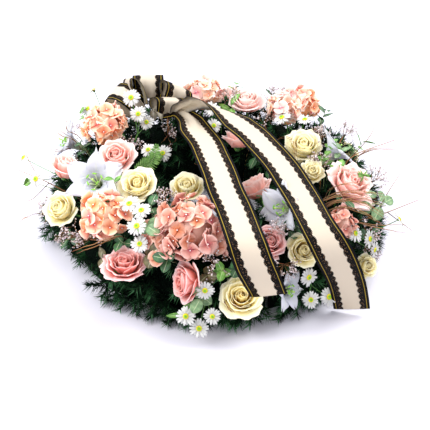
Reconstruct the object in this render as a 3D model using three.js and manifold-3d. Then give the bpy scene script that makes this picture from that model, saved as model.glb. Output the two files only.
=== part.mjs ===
// A round memorial wreath that lies flat: a straw ring wound with wire under artificial fir, with
// artificial roses, hydrangeas, lilies and daisies on wire stems pushed into the straw, dried grass,
// and a funeral ribbon whose bow sits at the back left and whose two tails cross the ring.
// Millimetres, +Z up. The ring lies on z = 0 and its axis is Z.
import * as THREE from "three";
import { mergeVertices } from "three/addons/utils/BufferGeometryUtils.js";
import Module from "manifold-3d";

const wasm = await Module();
wasm.setup();

// Driving dimensions. Everything that is pushed in points at the heart line, a circle inside the ring,
// and its place is [around, lean, reach]: degrees about Z from +X, degrees from upright (outwards is
// positive) and the distance from the heart line.
const HEART_RADIUS = 240;
const HEART_HEIGHT = 60;
const STEM_DEPTH = 26; // how near to the heart line a stem ends
const STEM_RADIUS = 1.6;
const STRAW_WIDTH = 120;
const STRAW_HEIGHT = 96;
const FIR_BRANCHES = 8;
const FIR_START = 18; // where the first fir branch begins, degrees
const FIR_FLOOR_INNER = 118;
const FIR_FLOOR_OUTER = 346;
const FIR_TOP = 150;
const FIR_REACH = 384; // radius that the outer needle tips reach
const RIBBON_WIDTH = 70;
const RIBBON_THICKNESS = 1.6;
const CLEARANCE = 0.4; // left between neighbours

const { degToRad: rad } = THREE.MathUtils;
const UP = new THREE.Vector3(0, 0, 1);

const finishes = {
  straw: new THREE.MeshStandardMaterial({ color: 0xb99a5b, roughness: 0.9 }),
  wire: new THREE.MeshStandardMaterial({ color: 0x2f4a33, roughness: 0.4, metalness: 0.6 }),
  fir: new THREE.MeshStandardMaterial({ color: 0x17351f, roughness: 0.7 }),
  pinkRose: new THREE.MeshStandardMaterial({ color: 0xf2bdb2, roughness: 0.8 }),
  creamRose: new THREE.MeshStandardMaterial({ color: 0xfbeec0, roughness: 0.8 }),
  peach: new THREE.MeshStandardMaterial({ color: 0xf2b489, roughness: 0.8 }),
  white: new THREE.MeshStandardMaterial({ color: 0xf4f3f0, roughness: 0.7 }),
  ribbon: new THREE.MeshStandardMaterial({ color: 0xf3ead2, roughness: 0.45 }),
  grass: new THREE.MeshStandardMaterial({ color: 0x8a5a2b, roughness: 0.8 }),
  leaf: new THREE.MeshStandardMaterial({ color: 0x7fa88a, roughness: 0.7 }),
};

// ---- places -------------------------------------------------------------------------------------

function at([around, lean, reach]) {
  const out = HEART_RADIUS + reach * Math.sin(rad(lean));
  const x = out * Math.cos(rad(around));
  const y = out * Math.sin(rad(around));
  return new THREE.Vector3(x, y, HEART_HEIGHT + reach * Math.cos(rad(lean)));
}

// A unit vector towards a compass bearing about Z and an angle above the floor.
function towards(around, above) {
  const flat = Math.cos(rad(above));
  const z = Math.sin(rad(above));
  return new THREE.Vector3(flat * Math.cos(rad(around)), flat * Math.sin(rad(around)), z);
}

// Stands a shape, modelled about Z, at a place and turns its Z to a direction.
function stood(geometry, place, direction) {
  const turn = new THREE.Quaternion().setFromUnitVectors(UP, direction);
  return geometry.applyQuaternion(turn).translate(place.x, place.y, place.z);
}

// ---- shapes -------------------------------------------------------------------------------------

function surface(points, faces) {
  const geometry = new THREE.BufferGeometry();
  geometry.setAttribute("position", new THREE.Float32BufferAttribute(points.flat(), 3));
  return geometry.setIndex(faces.flat());
}

// A closed surface through rings about Z, from its bottom pole over the outside to its top pole. Each
// ring is [radius, height, lobe]: a lobe swells every other point of the ring and draws in the rest.
function ringed(rings, sides) {
  const open = rings.slice(1, -1);
  const points = [[0, 0, rings[0][1]]];
  for (const [radius, height, lobe = 0] of open)
    for (let i = 0; i < sides; i++) {
      const swell = radius * (1 + (i % 2 ? -lobe : lobe));
      const angle = (2 * Math.PI * i) / sides;
      points.push([swell * Math.cos(angle), swell * Math.sin(angle), height]);
    }
  points.push([0, 0, rings.at(-1)[1]]);
  const faces = [];
  const top = points.length - 1;
  const last = top - sides;
  for (let i = 0; i < sides; i++) {
    const next = (i + 1) % sides;
    faces.push([0, 1 + next, 1 + i], [last + i, last + next, top]);
    for (let k = 0; k < open.length - 1; k++) {
      const low = 1 + k * sides;
      const high = low + sides;
      faces.push([low + i, low + next, high + next], [low + i, high + next, high + i]);
    }
  }
  return surface(points, faces);
}

// A closed skin over sections of equal point counts. Each section runs anticlockwise as seen from the
// section that follows; the ends are closed by the given triangles, or the last joins the first.
function lofted(sections, capFaces) {
  const count = sections[0].length;
  const points = sections.flat().map((point) => point.toArray());
  const faces = [];
  const steps = capFaces ? sections.length - 1 : sections.length;
  for (let k = 0; k < steps; k++) {
    const low = k * count;
    const high = ((k + 1) % sections.length) * count;
    for (let i = 0; i < count; i++) {
      const next = (i + 1) % count;
      faces.push([low + i, low + next, high + next], [low + i, high + next, high + i]);
    }
  }
  for (const [a, b, c] of capFaces ?? []) {
    const end = (sections.length - 1) * count;
    faces.push([a, c, b], [end + a, end + b, end + c]);
  }
  return surface(points, faces);
}

const fan = (count) => Array.from({ length: count - 2 }, (_, i) => [0, i + 1, i + 2]);

// A straight round stick between two places.
function stick(from, to, radius = STEM_RADIUS, tip = radius, sides = 4) {
  const along = to.clone().sub(from);
  const rod = new THREE.CylinderGeometry(tip, radius, along.length(), sides);
  rod.rotateX(Math.PI / 2).translate(0, 0, along.length() / 2);
  return stood(rod, from, along.normalize());
}

// A tapering twig along a smooth curve through places.
function twig(places, radius, tip, steps = 8) {
  const curve = new THREE.CatmullRomCurve3(places);
  const { normals, binormals } = curve.computeFrenetFrames(steps);
  const sides = 4;
  const sections = normals.map((normal, k) => {
    const centre = curve.getPointAt(k / steps);
    const size = THREE.MathUtils.lerp(radius, tip, k / steps);
    return Array.from({ length: sides }, (_, i) => {
      const angle = (2 * Math.PI * i) / sides;
      const side = normal.clone().multiplyScalar(size * Math.cos(angle));
      return side.addScaledVector(binormals[k], size * Math.sin(angle)).add(centre);
    });
  });
  return lofted(sections, fan(sides));
}

// A ribbon through centre places. Each across vector runs along its width, from its left edge.
function strip(centres, acrosses, widths) {
  const sections = centres.map((centre, k) => {
    const before = centres[Math.max(k - 1, 0)];
    const after = centres[Math.min(k + 1, centres.length - 1)];
    const along = after.clone().sub(before).normalize();
    const lift = new THREE.Vector3().crossVectors(acrosses[k], along).normalize();
    const corner = (side, height) =>
      centre
        .clone()
        .addScaledVector(acrosses[k], (side * widths[k]) / 2)
        .addScaledVector(lift, (height * RIBBON_THICKNESS) / 2);
    return [corner(-1, 1), corner(1, 1), corner(1, -1), corner(-1, -1)];
  });
  return lofted(sections, fan(4));
}

// ---- solids -------------------------------------------------------------------------------------

function bare(geometry) {
  const flat = geometry.index ? geometry.toNonIndexed() : geometry;
  const positions = new THREE.BufferGeometry();
  return mergeVertices(positions.setAttribute("position", flat.getAttribute("position")), 1e-3);
}

function solid(geometry) {
  const { index, attributes } = bare(geometry);
  const vertProperties = attributes.position.array;
  return new wasm.Manifold(new wasm.Mesh({ numProp: 3, vertProperties, triVerts: index.array }));
}

// The same shape with every point moved out along its normal: the room that it needs.
function room(geometry) {
  const grown = bare(geometry);
  grown.computeVertexNormals();
  const { position, normal } = grown.attributes;
  for (let i = 0; i < position.count; i++) {
    const moved = new THREE.Vector3().fromBufferAttribute(position, i);
    moved.addScaledVector(new THREE.Vector3().fromBufferAttribute(normal, i), CLEARANCE);
    position.setXYZ(i, ...moved);
  }
  return solid(grown);
}

const joined = (solids) => solids.reduce((whole, next) => whole.add(next));

function touches(a, b) {
  return [0, 1, 2].every((axis) => a.min[axis] <= b.max[axis] && b.min[axis] <= a.max[axis]);
}

const wreath = new THREE.Group();
const taken = []; // the room of each piece in place, which later pieces leave free

// Joins shapes into one piece, cuts away the room of the pieces in place, and adds it to the wreath.
// Where the cut frees a scrap, the largest part is the piece.
function place(name, finish, shapes) {
  let body = joined(shapes.map(solid));
  for (const other of taken)
    if (touches(body.boundingBox(), other.boundingBox())) body = body.subtract(other);
  const parts = body.decompose().sort((a, b) => b.volume() - a.volume());
  taken.push(joined(shapes.map(room)));
  const { vertProperties, triVerts } = parts[0].getMesh();
  const geometry = new THREE.BufferGeometry();
  geometry.setAttribute("position", new THREE.BufferAttribute(vertProperties, 3));
  geometry.setIndex(new THREE.BufferAttribute(triVerts, 1));
  const mesh = new THREE.Mesh(geometry, finishes[finish]);
  mesh.name = name;
  wreath.add(mesh);
}

// A flower on its stem. A spot is [around, lean, reach] of its middle, then its size and, where it
// doesn't face straight out, the bearing and the height that it faces.
function onStem(makeHead, spot, baseShare) {
  const [around, lean, reach, size, bearing, above] = spot;
  const middle = at([around, lean, reach]);
  const outwards = middle.clone().sub(at([around, lean, 0])).normalize();
  const direction = bearing === undefined ? outwards : towards(bearing, above);
  const base = middle.clone().addScaledVector(direction, -size * baseShare);
  const root = at([around, lean, STEM_DEPTH]);
  return [stood(makeHead(size), middle, direction), stick(root, base)];
}

// ---- roses --------------------------------------------------------------------------------------

// Five outer petals that flare and roll back, five inner ones turned about half a petal, and the bud.
function roseHead(size) {
  const rings = [
    [0, -0.42],
    [0.11, -0.4],
    [0.34, -0.26, 0.02],
    [0.46, 0, 0.05],
    [0.49, 0.13, 0.1],
    [0.38, 0.11, 0.04],
    [0.33, 0.25, -0.1],
    [0.23, 0.17, -0.04],
    [0.15, 0.3, 0.1],
    [0, 0.22],
  ];
  return ringed(rings.map(([radius, height, lobe]) => [radius * size, height * size, lobe]), 10);
}

const pinkRoses = [
  [189, 33, 140, 75, 300, 55],
  [196, -10, 150, 82, 265, 55],
  [242, 60, 140, 88, 262, 82],
  [261, 65, 138, 84, 208, 18],
  [68, -50, 140, 82, 90, 60],
  [304, -42, 149, 75, 150, 60],
  [288, 36, 130, 75],
  [332, 26, 150, 100],
  [70, -12, 150, 85],
  [84, 55, 140, 82],
];
const creamRoses = [
  [228, -4, 150, 84, 262, 50],
  [207, 53, 140, 80, 255, 38],
  [277, 75, 140, 88, 268, 62],
  [244, -43, 158, 78, 270, 80],
  [298, 50, 138, 70, 285, 45],
  [359, -21, 150, 85, 250, 60],
  [332, -8, 138, 55, 270, 60],
  [324, 96, 137, 55, 300, 40],
  [30, 88, 128, 82],
];
pinkRoses.forEach((spot, i) => place(`rose_pink_${i + 1}`, "pinkRose", onStem(roseHead, spot, 0.36)));
creamRoses.forEach((spot, i) => place(`rose_cream_${i + 1}`, "creamRose", onStem(roseHead, spot, 0.36)));

// ---- hydrangeas ---------------------------------------------------------------------------------

// A domed head of small florets, which stand out as bumps over a rounded mass.
function hydrangeaHead(size) {
  const head = bare(new THREE.IcosahedronGeometry(size / 2, 2));
  const { position } = head.attributes;
  for (let i = 0; i < position.count; i++) {
    const point = new THREE.Vector3().fromBufferAttribute(position, i);
    const bump = i % 3 ? 0.9 : 1;
    const flatter = point.z > 0 ? 0.8 : 0.62;
    position.setXYZ(i, point.x * bump, point.y * bump, point.z * bump * flatter);
  }
  return head;
}

const hydrangeas = [
  [163, 3, 150, 115],
  [229, 33, 150, 100, 262, 55],
  [262, 25, 145, 140, 268, 52],
  [98, -5, 150, 100],
  [43, -7, 150, 100],
  [314, 44, 145, 74],
  [52, 50, 145, 95],
];
hydrangeas.forEach((spot, i) => place(`hydrangea_${i + 1}`, "peach", onStem(hydrangeaHead, spot, 0.25)));

// ---- lilies -------------------------------------------------------------------------------------

// Six petals joined in a trumpet, hollow down the throat, with their tips curled back.
function lilyHead(size) {
  const petalTip = 0.36;
  const rings = [
    [0, -0.62],
    [0.06, -0.58],
    [0.11, -0.34],
    [0.24, -0.06, 0.12],
    [0.37, 0.04, petalTip],
    [0.35, 0.075, petalTip],
    [0.2, -0.01, 0.12],
    [0.07, -0.28],
    [0, -0.36],
  ];
  return ringed(rings.map(([radius, height, lobe]) => [radius * size, height * size, lobe]), 12);
}

// The pistil and the stamens stand together in the throat.
function lilyHeart(size) {
  return stick(new THREE.Vector3(0, 0, -0.4 * size), new THREE.Vector3(0, 0, 0.1 * size), 2.4, 1.6);
}

const lilies = [
  [215, 18, 160, 125, 262, 45],
  [165, 50, 150, 105, 190, 30],
  [296, 13, 146, 105, 215, 25],
  [352, 6, 150, 105, 20, 40],
  [112, 48, 145, 105],
  [138, 50, 145, 105],
];
lilies.forEach((spot, i) => {
  const [heart] = onStem(lilyHeart, spot, 0);
  place(`lily_${i + 1}`, "white", [...onStem(lilyHead, spot, 0.55), heart]);
});

// ---- ribbon -------------------------------------------------------------------------------------

const v = (x, y, z) => new THREE.Vector3(x, y, z);

// A tail: its centre line, and how far its front edge is raised at each of the first places, degrees.
// It is gathered at the knot. From the place where it starts to fall, its width swings to endAcross,
// the way that its cut end lies.
function tail(line, rolls, fall, endAcross) {
  const curve = new THREE.CatmullRomCurve3(line);
  const steps = 2 * (line.length - 1);
  const centres = [];
  const acrosses = [];
  const widths = [];
  let level;
  for (let k = 0; k <= steps; k++) {
    const share = k / steps;
    const along = curve.getTangent(share);
    if (k <= 2 * fall) level = new THREE.Vector3().crossVectors(along, UP).normalize();
    const swing = Math.max(0, (k - 2 * fall) / (steps - 2 * fall));
    const sideways = level.clone().lerp(endAcross.clone().negate(), swing);
    sideways.addScaledVector(along, -sideways.dot(along)).normalize();
    const upright = new THREE.Vector3().crossVectors(sideways, along);
    const before = rolls[Math.floor(k / 2)] ?? 0;
    const after = rolls[Math.ceil(k / 2)] ?? 0;
    const roll = rad((before + after) / 2);
    const across = sideways.multiplyScalar(-Math.cos(roll)).addScaledVector(upright, -Math.sin(roll));
    centres.push(curve.getPoint(share));
    acrosses.push(across);
    widths.push(RIBBON_WIDTH * Math.min(0.45 + k * 0.14, 1));
  }
  return strip(centres, acrosses, widths);
}

const leftTail = [
  v(-134, 120, 194),
  v(-98, 96, 212),
  v(-64, 43, 235),
  v(-42, -15, 245),
  v(-20, -79, 250),
  v(-8, -130, 250),
  v(5, -183, 248),
  v(18, -243, 242),
  v(31, -290, 238),
  v(43, -338, 231),
  v(54, -370, 214),
  v(67, -388, 181),
  v(82, -392, 145),
  v(94, -390, 112),
];
const rightTail = [
  v(-101, 121, 210),
  v(-86, 110, 224),
  v(-70, 94, 240),
  v(-39, 74, 260),
  v(-13, 51, 268),
  v(13, 22, 270),
  v(45, -27, 268),
  v(73, -68, 265),
  v(93, -108, 262),
  v(111, -143, 258),
  v(128, -178, 252),
  v(144, -219, 244),
  v(160, -258, 234),
  v(172, -285, 222),
  v(185, -311, 207),
  v(199, -328, 188),
  v(215, -336, 160),
  v(232, -332, 122),
  v(247, -324, 80),
  v(258, -317, 38),
  v(264, -312, 10),
];

// A loop of the bow: out from the knot along its length, round, and back, in a drop shape.
function loop({ base, length, along, across, belly }) {
  const run = along.clone().normalize();
  const width = across.clone().normalize();
  const out = new THREE.Vector3().crossVectors(width, run).normalize();
  const steps = 11;
  const centres = [];
  for (let k = 0; k <= steps; k++) {
    const share = THREE.MathUtils.lerp(0.06, 0.94, k / steps);
    const forward = length * Math.sin(Math.PI * share);
    const aside = -0.5 * belly * Math.sin(2 * Math.PI * share);
    centres.push(base.clone().addScaledVector(run, forward).addScaledVector(out, aside));
  }
  return strip(centres, centres.map(() => width), centres.map(() => RIBBON_WIDTH));
}

const KNOT = v(-145, 135, 215);
const bowLoops = [
  { base: v(-6, -12, -16), length: 98, along: v(-0.88, 0.2, 0.42), across: v(0.35, 0.85, 0.1), belly: 44 },
  { base: v(-21, 4, -9), length: 84, along: v(-0.42, 0.52, 0.74), across: v(0.35, -0.8, 0.49), belly: 34 },
  { base: v(-7, 30, -3), length: 66, along: v(-0.05, 0.45, 0.9), across: v(1, 0.05, 0), belly: 40 },
  { base: v(46, 10, -2), length: 52, along: v(0.2, 0.39, 0.9), across: v(0.79, 0.3, -0.53), belly: 44 },
  { base: v(36, -23, -9), length: 44, along: v(-0.02, 0.49, 0.87), across: v(0.9, 0.38, -0.21), belly: 56 },
];
const wrap = new THREE.BoxGeometry(62, 36, 24).rotateX(rad(-35)).translate(-127, 129, 207);
const loops = bowLoops.map((part) => loop({ ...part, base: part.base.add(KNOT) }));
place("ribbon_bow", "ribbon", [wrap, ...loops]);
place("ribbon_tail_left", "ribbon", [tail(leftTail, [], 8, v(0.96, -0.15, -0.2))]);
const rightRolls = [15, 38, 46, 46, 40, 25];
place("ribbon_tail_right", "ribbon", [tail(rightTail, rightRolls, 12, v(0.97, 0.23, 0))]);

// ---- daisy sprays -------------------------------------------------------------------------------

function daisyHead(size) {
  const rings = [
    [0, -4],
    [0.4 * size, 0, 0.22],
    [0.12 * size, 1.5],
    [0, 4],
  ];
  return ringed(rings, 14);
}

// Several heads on short stalks from one fork, which stands on a stem in the straw.
function spray(root, heads, makeHead) {
  const [around, lean, forkReach] = root;
  const fork = at([around, lean, forkReach]);
  const shapes = [stick(at([around, lean, STEM_DEPTH]), fork)];
  shapes.push(new THREE.IcosahedronGeometry(3.2, 0).translate(...fork));
  for (const [headAround, headLean, headReach, size, bearing, above] of heads) {
    const middle = at([headAround, headLean, headReach]);
    const outwards = middle.clone().sub(at([headAround, headLean, 0])).normalize();
    const direction = bearing === undefined ? outwards : towards(bearing, above);
    shapes.push(stood(makeHead(size), middle, direction));
    shapes.push(stick(fork, middle.clone().addScaledVector(direction, -1), 1.2));
  }
  return shapes;
}

const daisySprays = [
  [[147, 34, 112], [[144, 34, 200, 40], [150, 37, 170, 38, 230, 50]]],
  [
    [159, -23, 138],
    [[150, -7, 197, 42, 262, 45], [155, -17, 178, 40, 258, 45], [152, -24, 163, 36, 265, 40]],
  ],
  [[86, -36, 112], [[93, -29, 160, 40], [92, -43, 150, 38], [76, -41, 166, 40]]],
  [[30, -15, 112], [[33, -23, 166, 42], [24, -9, 154, 38]]],
  [[243, 31, 114], [[237, 20, 164, 40], [243, 22, 166, 38], [244, 33, 164, 40], [246, 43, 150, 36]]],
  [[184, 52, 116], [[190.5, 56, 172, 40, 240, 40], [179, 60, 204, 38, 200, 50]]],
  [
    [267, 84, 116],
    [
      [267, 68, 152, 36],
      [262, 88, 156, 38, 265, 30],
      [265.5, 97, 160, 38, 270, 30],
      [269, 87, 156, 34, 275, 30],
    ],
  ],
  [[301, 88, 114], [[298, 72, 134, 38], [305, 98, 140, 40, 290, 35], [298, 92, 140, 36, 285, 35]]],
  [[322, 66, 114], [[317, 55, 150, 38], [322, 66, 152, 38], [325, 80, 146, 36], [333, 66, 184, 34, 0, 40]]],
];
daisySprays.forEach(([root, heads], i) =>
  place(`daisy_spray_${i + 1}`, "white", spray(root, heads, daisyHead)),
);

// ---- grass, eucalyptus and limonium -------------------------------------------------------------

// Each twig has a line and side blades; a blade leaves the line at a step and runs through its places.
const TWIG_STEPS = 12;
const grassTwigs = [
  {
    line: [[195, 50, 26], [193, 52, 110], [188, 58, 150], [182, 65.5, 222]],
    sides: [[9, [183, 56, 190], [178, 58, 205]], [8, [193, 70, 168], [190, 76, 188]]],
  },
  {
    line: [[346, 12, 26], [344, 14, 110], [343, 17, 165], [352, 36, 222]],
    sides: [[8, [349, 22, 205], [356, 24, 225]]],
  },
  {
    line: [[328, 52, 26], [327, 54, 110], [330, 57, 160], [339, 62.5, 217]],
    sides: [[9, [333, 68, 185], [333, 74, 205]], [8, [338, 50, 175], [344, 48, 200]]],
  },
];
grassTwigs.forEach(({ line, sides }, i) => {
  const curve = new THREE.CatmullRomCurve3(line.map(at));
  const blades = sides.map(([step, ...places]) =>
    twig([curve.getPointAt(step / TWIG_STEPS), ...places.map(at)], 1.2, 0.7, 5),
  );
  place(`grass_twig_${i + 1}`, "grass", [twig(line.map(at), 2, 0.8, TWIG_STEPS), ...blades]);
});

// Round leaves in pairs up a curved stem.
function roundLeaf(size) {
  return ringed([[0, -1.5], [size / 2, 0], [0, 1.5]], 8);
}
const eucalyptusStem = [[335, 46, 26], [335, 47, 110], [333, 50, 150], [330, 52, 182]];
const eucalyptusLeaves = [
  [338, 45, 140, 28, 300, 60],
  [329, 47, 142, 30, 300, 50],
  [336, 50, 160, 28, 340, 40],
  [328, 54, 164, 28, 290, 45],
  [332, 51, 184, 24, 320, 50],
];
function sprig(line, radius, ends, makeEnd) {
  const stem = twig(line.map(at), radius, radius / 2, 8);
  const curve = new THREE.CatmullRomCurve3(line.map(at));
  const shapes = [stem];
  ends.forEach(([around, lean, reach, size, bearing, above], i) => {
    const middle = at([around, lean, reach]);
    const from = curve.getPointAt(0.62 + (0.36 * i) / ends.length);
    shapes.push(stood(makeEnd(size), middle, towards(bearing, above)), stick(from, middle, 1, 1, 4));
  });
  return shapes;
}
place("eucalyptus", "leaf", sprig(eucalyptusStem, 1.8, eucalyptusLeaves, roundLeaf));

const limoniumStem = [[219, 60, 26], [219, 60, 110], [220, 61, 135], [221, 62, 165]];
const limoniumTips = [
  [215, 56, 150, 9, 220, 30],
  [224, 58, 152, 9, 220, 30],
  [216, 64, 162, 9, 220, 30],
  [224, 66, 160, 9, 220, 30],
  [222, 62, 176, 9, 220, 30],
];
const flowerBud = (size) => new THREE.IcosahedronGeometry(size / 2, 0);
place("limonium", "grass", sprig(limoniumStem, 1.5, limoniumTips, flowerBud));

// The wire that ties the bow and the tails together and holds them in the straw.
const tieLine = [v(-172, 160, 66), v(-162, 158, 150), v(-152, 161, 192), v(-146, 166, 216)];
place("ribbon_wire", "wire", [twig(tieLine, 1.4, 1.4, 8)]);

// ---- fir branches -------------------------------------------------------------------------------

// The cut through the dressing, [distance from Z, height]: over the straw from the inner foot to the
// outer foot, and back round the straw with room for the binding wire.
const strawRoom = 4;
function firSection() {
  const inner = HEART_RADIUS - STRAW_WIDTH / 2 - strawRoom;
  const outer = HEART_RADIUS + STRAW_WIDTH / 2 + strawRoom;
  const under = STRAW_HEIGHT + strawRoom;
  return [
    [FIR_FLOOR_OUTER, 1],
    [FIR_FLOOR_OUTER, 50],
    [FIR_FLOOR_OUTER - 22, 100],
    [FIR_FLOOR_OUTER - 62, FIR_TOP - 8],
    [HEART_RADIUS, FIR_TOP],
    [HEART_RADIUS - 40, FIR_TOP - 12],
    [FIR_FLOOR_INNER + 38, 104],
    [FIR_FLOOR_INNER + 8, 52],
    [FIR_FLOOR_INNER, 1],
    [inner, 1],
    [inner, 70],
    [inner + 26, under],
    [outer - 26, under],
    [outer, 70],
    [outer, 1],
  ].map(([x, y]) => new THREE.Vector2(x, y));
}

// A bottle-brush fir tip: rings of needles that stand out and fall back to the stalk.
function firTip(length, radius) {
  const whorls = [
    [0, 0],
    [0.75, 0.02],
    [1, 0.3],
    [0.6, 0.34],
    [0.85, 0.6],
    [0.45, 0.66],
    [0, 1],
  ];
  return ringed(whorls.map(([share, height]) => [share * radius, height * length]), 5);
}

const firGap = 0.6; // degrees between two branches, which the binding wire passes through
const firSpan = 360 / FIR_BRANCHES;

// One branch: its bushy mass over the ring, tips fanned out along the floor and up the sides, and
// shorter tips towards the middle.
function firBranch(start) {
  const profile = firSection();
  const caps = THREE.ShapeUtils.triangulateShape(profile, []);
  const steps = 4;
  const sections = [];
  for (let k = 0; k <= steps; k++) {
    const angle = rad(start + firGap + ((firSpan - 2 * firGap) * k) / steps);
    const spoke = ({ x, y }) => v(x * Math.cos(angle), x * Math.sin(angle), y);
    sections.push(profile.map(spoke).reverse());
  }
  const last = profile.length - 1;
  const shapes = [lofted(sections, caps.map(([a, b, c]) => [last - a, last - c, last - b]))];
  for (let k = 0; k < 5; k++) {
    const around = start + 5 + k * 8.6;
    const height = k % 2 ? 46 : 19;
    const foot = towards(around, 0).multiplyScalar(FIR_REACH - 70).setZ(height);
    shapes.push(stood(firTip(k % 2 ? 66 : 70, 17), foot, towards(around + 6, k % 2 ? 6 : -1)));
  }
  for (let k = 0; k < 2; k++) {
    const around = start + 12 + k * 20;
    const foot = towards(around, 0).multiplyScalar(FIR_FLOOR_INNER + 34).setZ(k % 2 ? 70 : 30);
    shapes.push(stood(firTip(54, 15), foot, towards(around + 172, k % 2 ? 22 : 4)));
  }
  return shapes;
}
for (let i = 0; i < FIR_BRANCHES; i++)
  place(`fir_branch_${i + 1}`, "fir", firBranch(FIR_START + i * firSpan));

// ---- binding wire and straw ---------------------------------------------------------------------

// One wire wound round the straw: at each gap between two branches it climbs inside, crosses the top,
// goes down outside and back under, and then runs on along the inner foot to the next gap.
const WIRE_RADIUS = 1.1;
function bindingWire() {
  const climb = [[-45, 3], [-57, 13], [-63, 46], [-48.5, 84], [-22.5, 99]];
  const under = [[-40, 1.8]];
  const down = climb.slice(1).map(([out, height]) => [-out, height]).reverse();
  const turn = [...climb, ...down, [41, 1.8], ...under];
  const line = [];
  for (let i = 0; i < FIR_BRANCHES; i++) {
    const start = FIR_START + i * firSpan;
    turn.forEach(([out, height], k) =>
      line.push(towards(start + k * 0.06, 0).multiplyScalar(HEART_RADIUS + out).setZ(height)),
    );
    for (let k = 0; k < 4; k++)
      line.push(towards(start + 2 + k * 13, 0).multiplyScalar(HEART_RADIUS - 46).setZ(3));
  }
  const sides = [0, 1, 2].map((i) => (i * 2 * Math.PI) / 3);
  const sections = line.map((point, k) => {
    const before = line[(k + line.length - 1) % line.length];
    const after = line[(k + 1) % line.length];
    const along = after.clone().sub(before).normalize();
    const round = towards(THREE.MathUtils.radToDeg(Math.atan2(point.y, point.x)) + 90, 20);
    const side = new THREE.Vector3().crossVectors(along, round).normalize();
    const other = new THREE.Vector3().crossVectors(along, side);
    return sides.map((angle) =>
      point
        .clone()
        .addScaledVector(side, WIRE_RADIUS * Math.cos(angle))
        .addScaledVector(other, WIRE_RADIUS * Math.sin(angle)),
    );
  });
  return lofted(sections);
}
place("binding_wire", "wire", [bindingWire()]);

function strawRing() {
  const half = STRAW_WIDTH / 2;
  const profile = [
    [half - 22, 0],
    [half - 6, 14],
    [half, 46],
    [half - 14, 82],
    [half - 38, STRAW_HEIGHT],
    [38 - half, STRAW_HEIGHT],
    [14 - half, 82],
    [-half, 46],
    [6 - half, 14],
    [22 - half, 0],
    [half - 22, 0],
  ];
  const turned = profile.map(([out, height]) => new THREE.Vector2(HEART_RADIUS + out, height));
  return new THREE.LatheGeometry(turned, 36).rotateX(Math.PI / 2);
}
place("straw_ring", "straw", [strawRing()]);

// The origin is on the floor under the middle of the whole wreath.
const bounds = new THREE.Box3().setFromObject(wreath);
const heart = bounds.getCenter(new THREE.Vector3());
wreath.position.set(-heart.x, -heart.y, -bounds.min.z);

export default wreath;
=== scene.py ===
"""A round memorial wreath with artificial roses, hydrangeas, lilies and daisies, and a funeral ribbon."""
import math

import bpy
import numpy as np
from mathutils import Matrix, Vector


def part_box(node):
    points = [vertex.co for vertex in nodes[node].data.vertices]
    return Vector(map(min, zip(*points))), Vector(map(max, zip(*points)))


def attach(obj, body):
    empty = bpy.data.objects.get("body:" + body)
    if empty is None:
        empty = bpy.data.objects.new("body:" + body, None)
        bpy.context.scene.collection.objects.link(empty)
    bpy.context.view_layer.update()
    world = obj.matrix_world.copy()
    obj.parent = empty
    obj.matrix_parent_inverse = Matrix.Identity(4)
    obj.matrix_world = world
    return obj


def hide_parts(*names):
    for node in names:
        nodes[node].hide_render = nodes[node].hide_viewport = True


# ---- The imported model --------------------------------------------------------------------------
# Every place is written in millimetres from the middle of the straw ring, on the floor, and becomes
# metres in the frame of the CAD when a mesh is made. A flower's place is [around, lean, reach]:
# degrees about Z, degrees outwards from upright, and the distance from the heart of the straw.

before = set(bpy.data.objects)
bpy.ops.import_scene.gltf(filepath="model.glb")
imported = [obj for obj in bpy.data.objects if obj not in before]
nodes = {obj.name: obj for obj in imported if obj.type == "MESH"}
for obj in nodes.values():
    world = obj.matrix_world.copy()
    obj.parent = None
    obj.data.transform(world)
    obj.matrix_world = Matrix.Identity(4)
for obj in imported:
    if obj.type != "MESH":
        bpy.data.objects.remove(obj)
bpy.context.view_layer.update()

MM = 0.001
ring_low, ring_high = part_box("straw_ring")
RING_CENTRE = np.array([(ring_low.x + ring_high.x) / 2, (ring_low.y + ring_high.y) / 2, 0.0])
HEART_RADIUS = 240
HEART_HEIGHT = 60
STEM_DEPTH = 26
STEM_RADIUS = 1.6
ORIGIN = np.zeros(3)


def at(around, lean, reach):
    """The point at an angle about Z, a lean from upright and a reach from the heart of the straw."""
    out = HEART_RADIUS + reach * math.sin(math.radians(lean))
    turn = math.radians(around)
    height = HEART_HEIGHT + reach * math.cos(math.radians(lean))
    return np.array([out * math.cos(turn), out * math.sin(turn), height])


def unit(vectors):
    """Vectors at length one, along the last axis."""
    return vectors / np.maximum(np.linalg.norm(vectors, axis=-1, keepdims=True), 1e-9)


def towards(around, above):
    """A unit vector at an angle about Z and an angle above the floor."""
    turn, rise = math.radians(around), math.radians(above)
    return np.array([math.cos(rise) * math.cos(turn), math.cos(rise) * math.sin(turn), math.sin(rise)])


# ---- The straw ring, its binding wire and the tie of the bow ------------------------------------
# A ring of pressed straw is wound with green coated iron wire, and a second wire ties the bow to it.
# These keep their CAD shapes: straw shows as pale dry stalks that run round the ring.


def linear(hex_colour):
    """A colour written in sRGB hex, as the linear RGBA that a node takes."""
    channels = [int(hex_colour[i : i + 2], 16) / 255 for i in (1, 3, 5)]
    light = [c / 12.92 if c <= 0.04045 else ((c + 0.055) / 1.055) ** 2.4 for c in channels]
    return (*light, 1.0)


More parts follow.
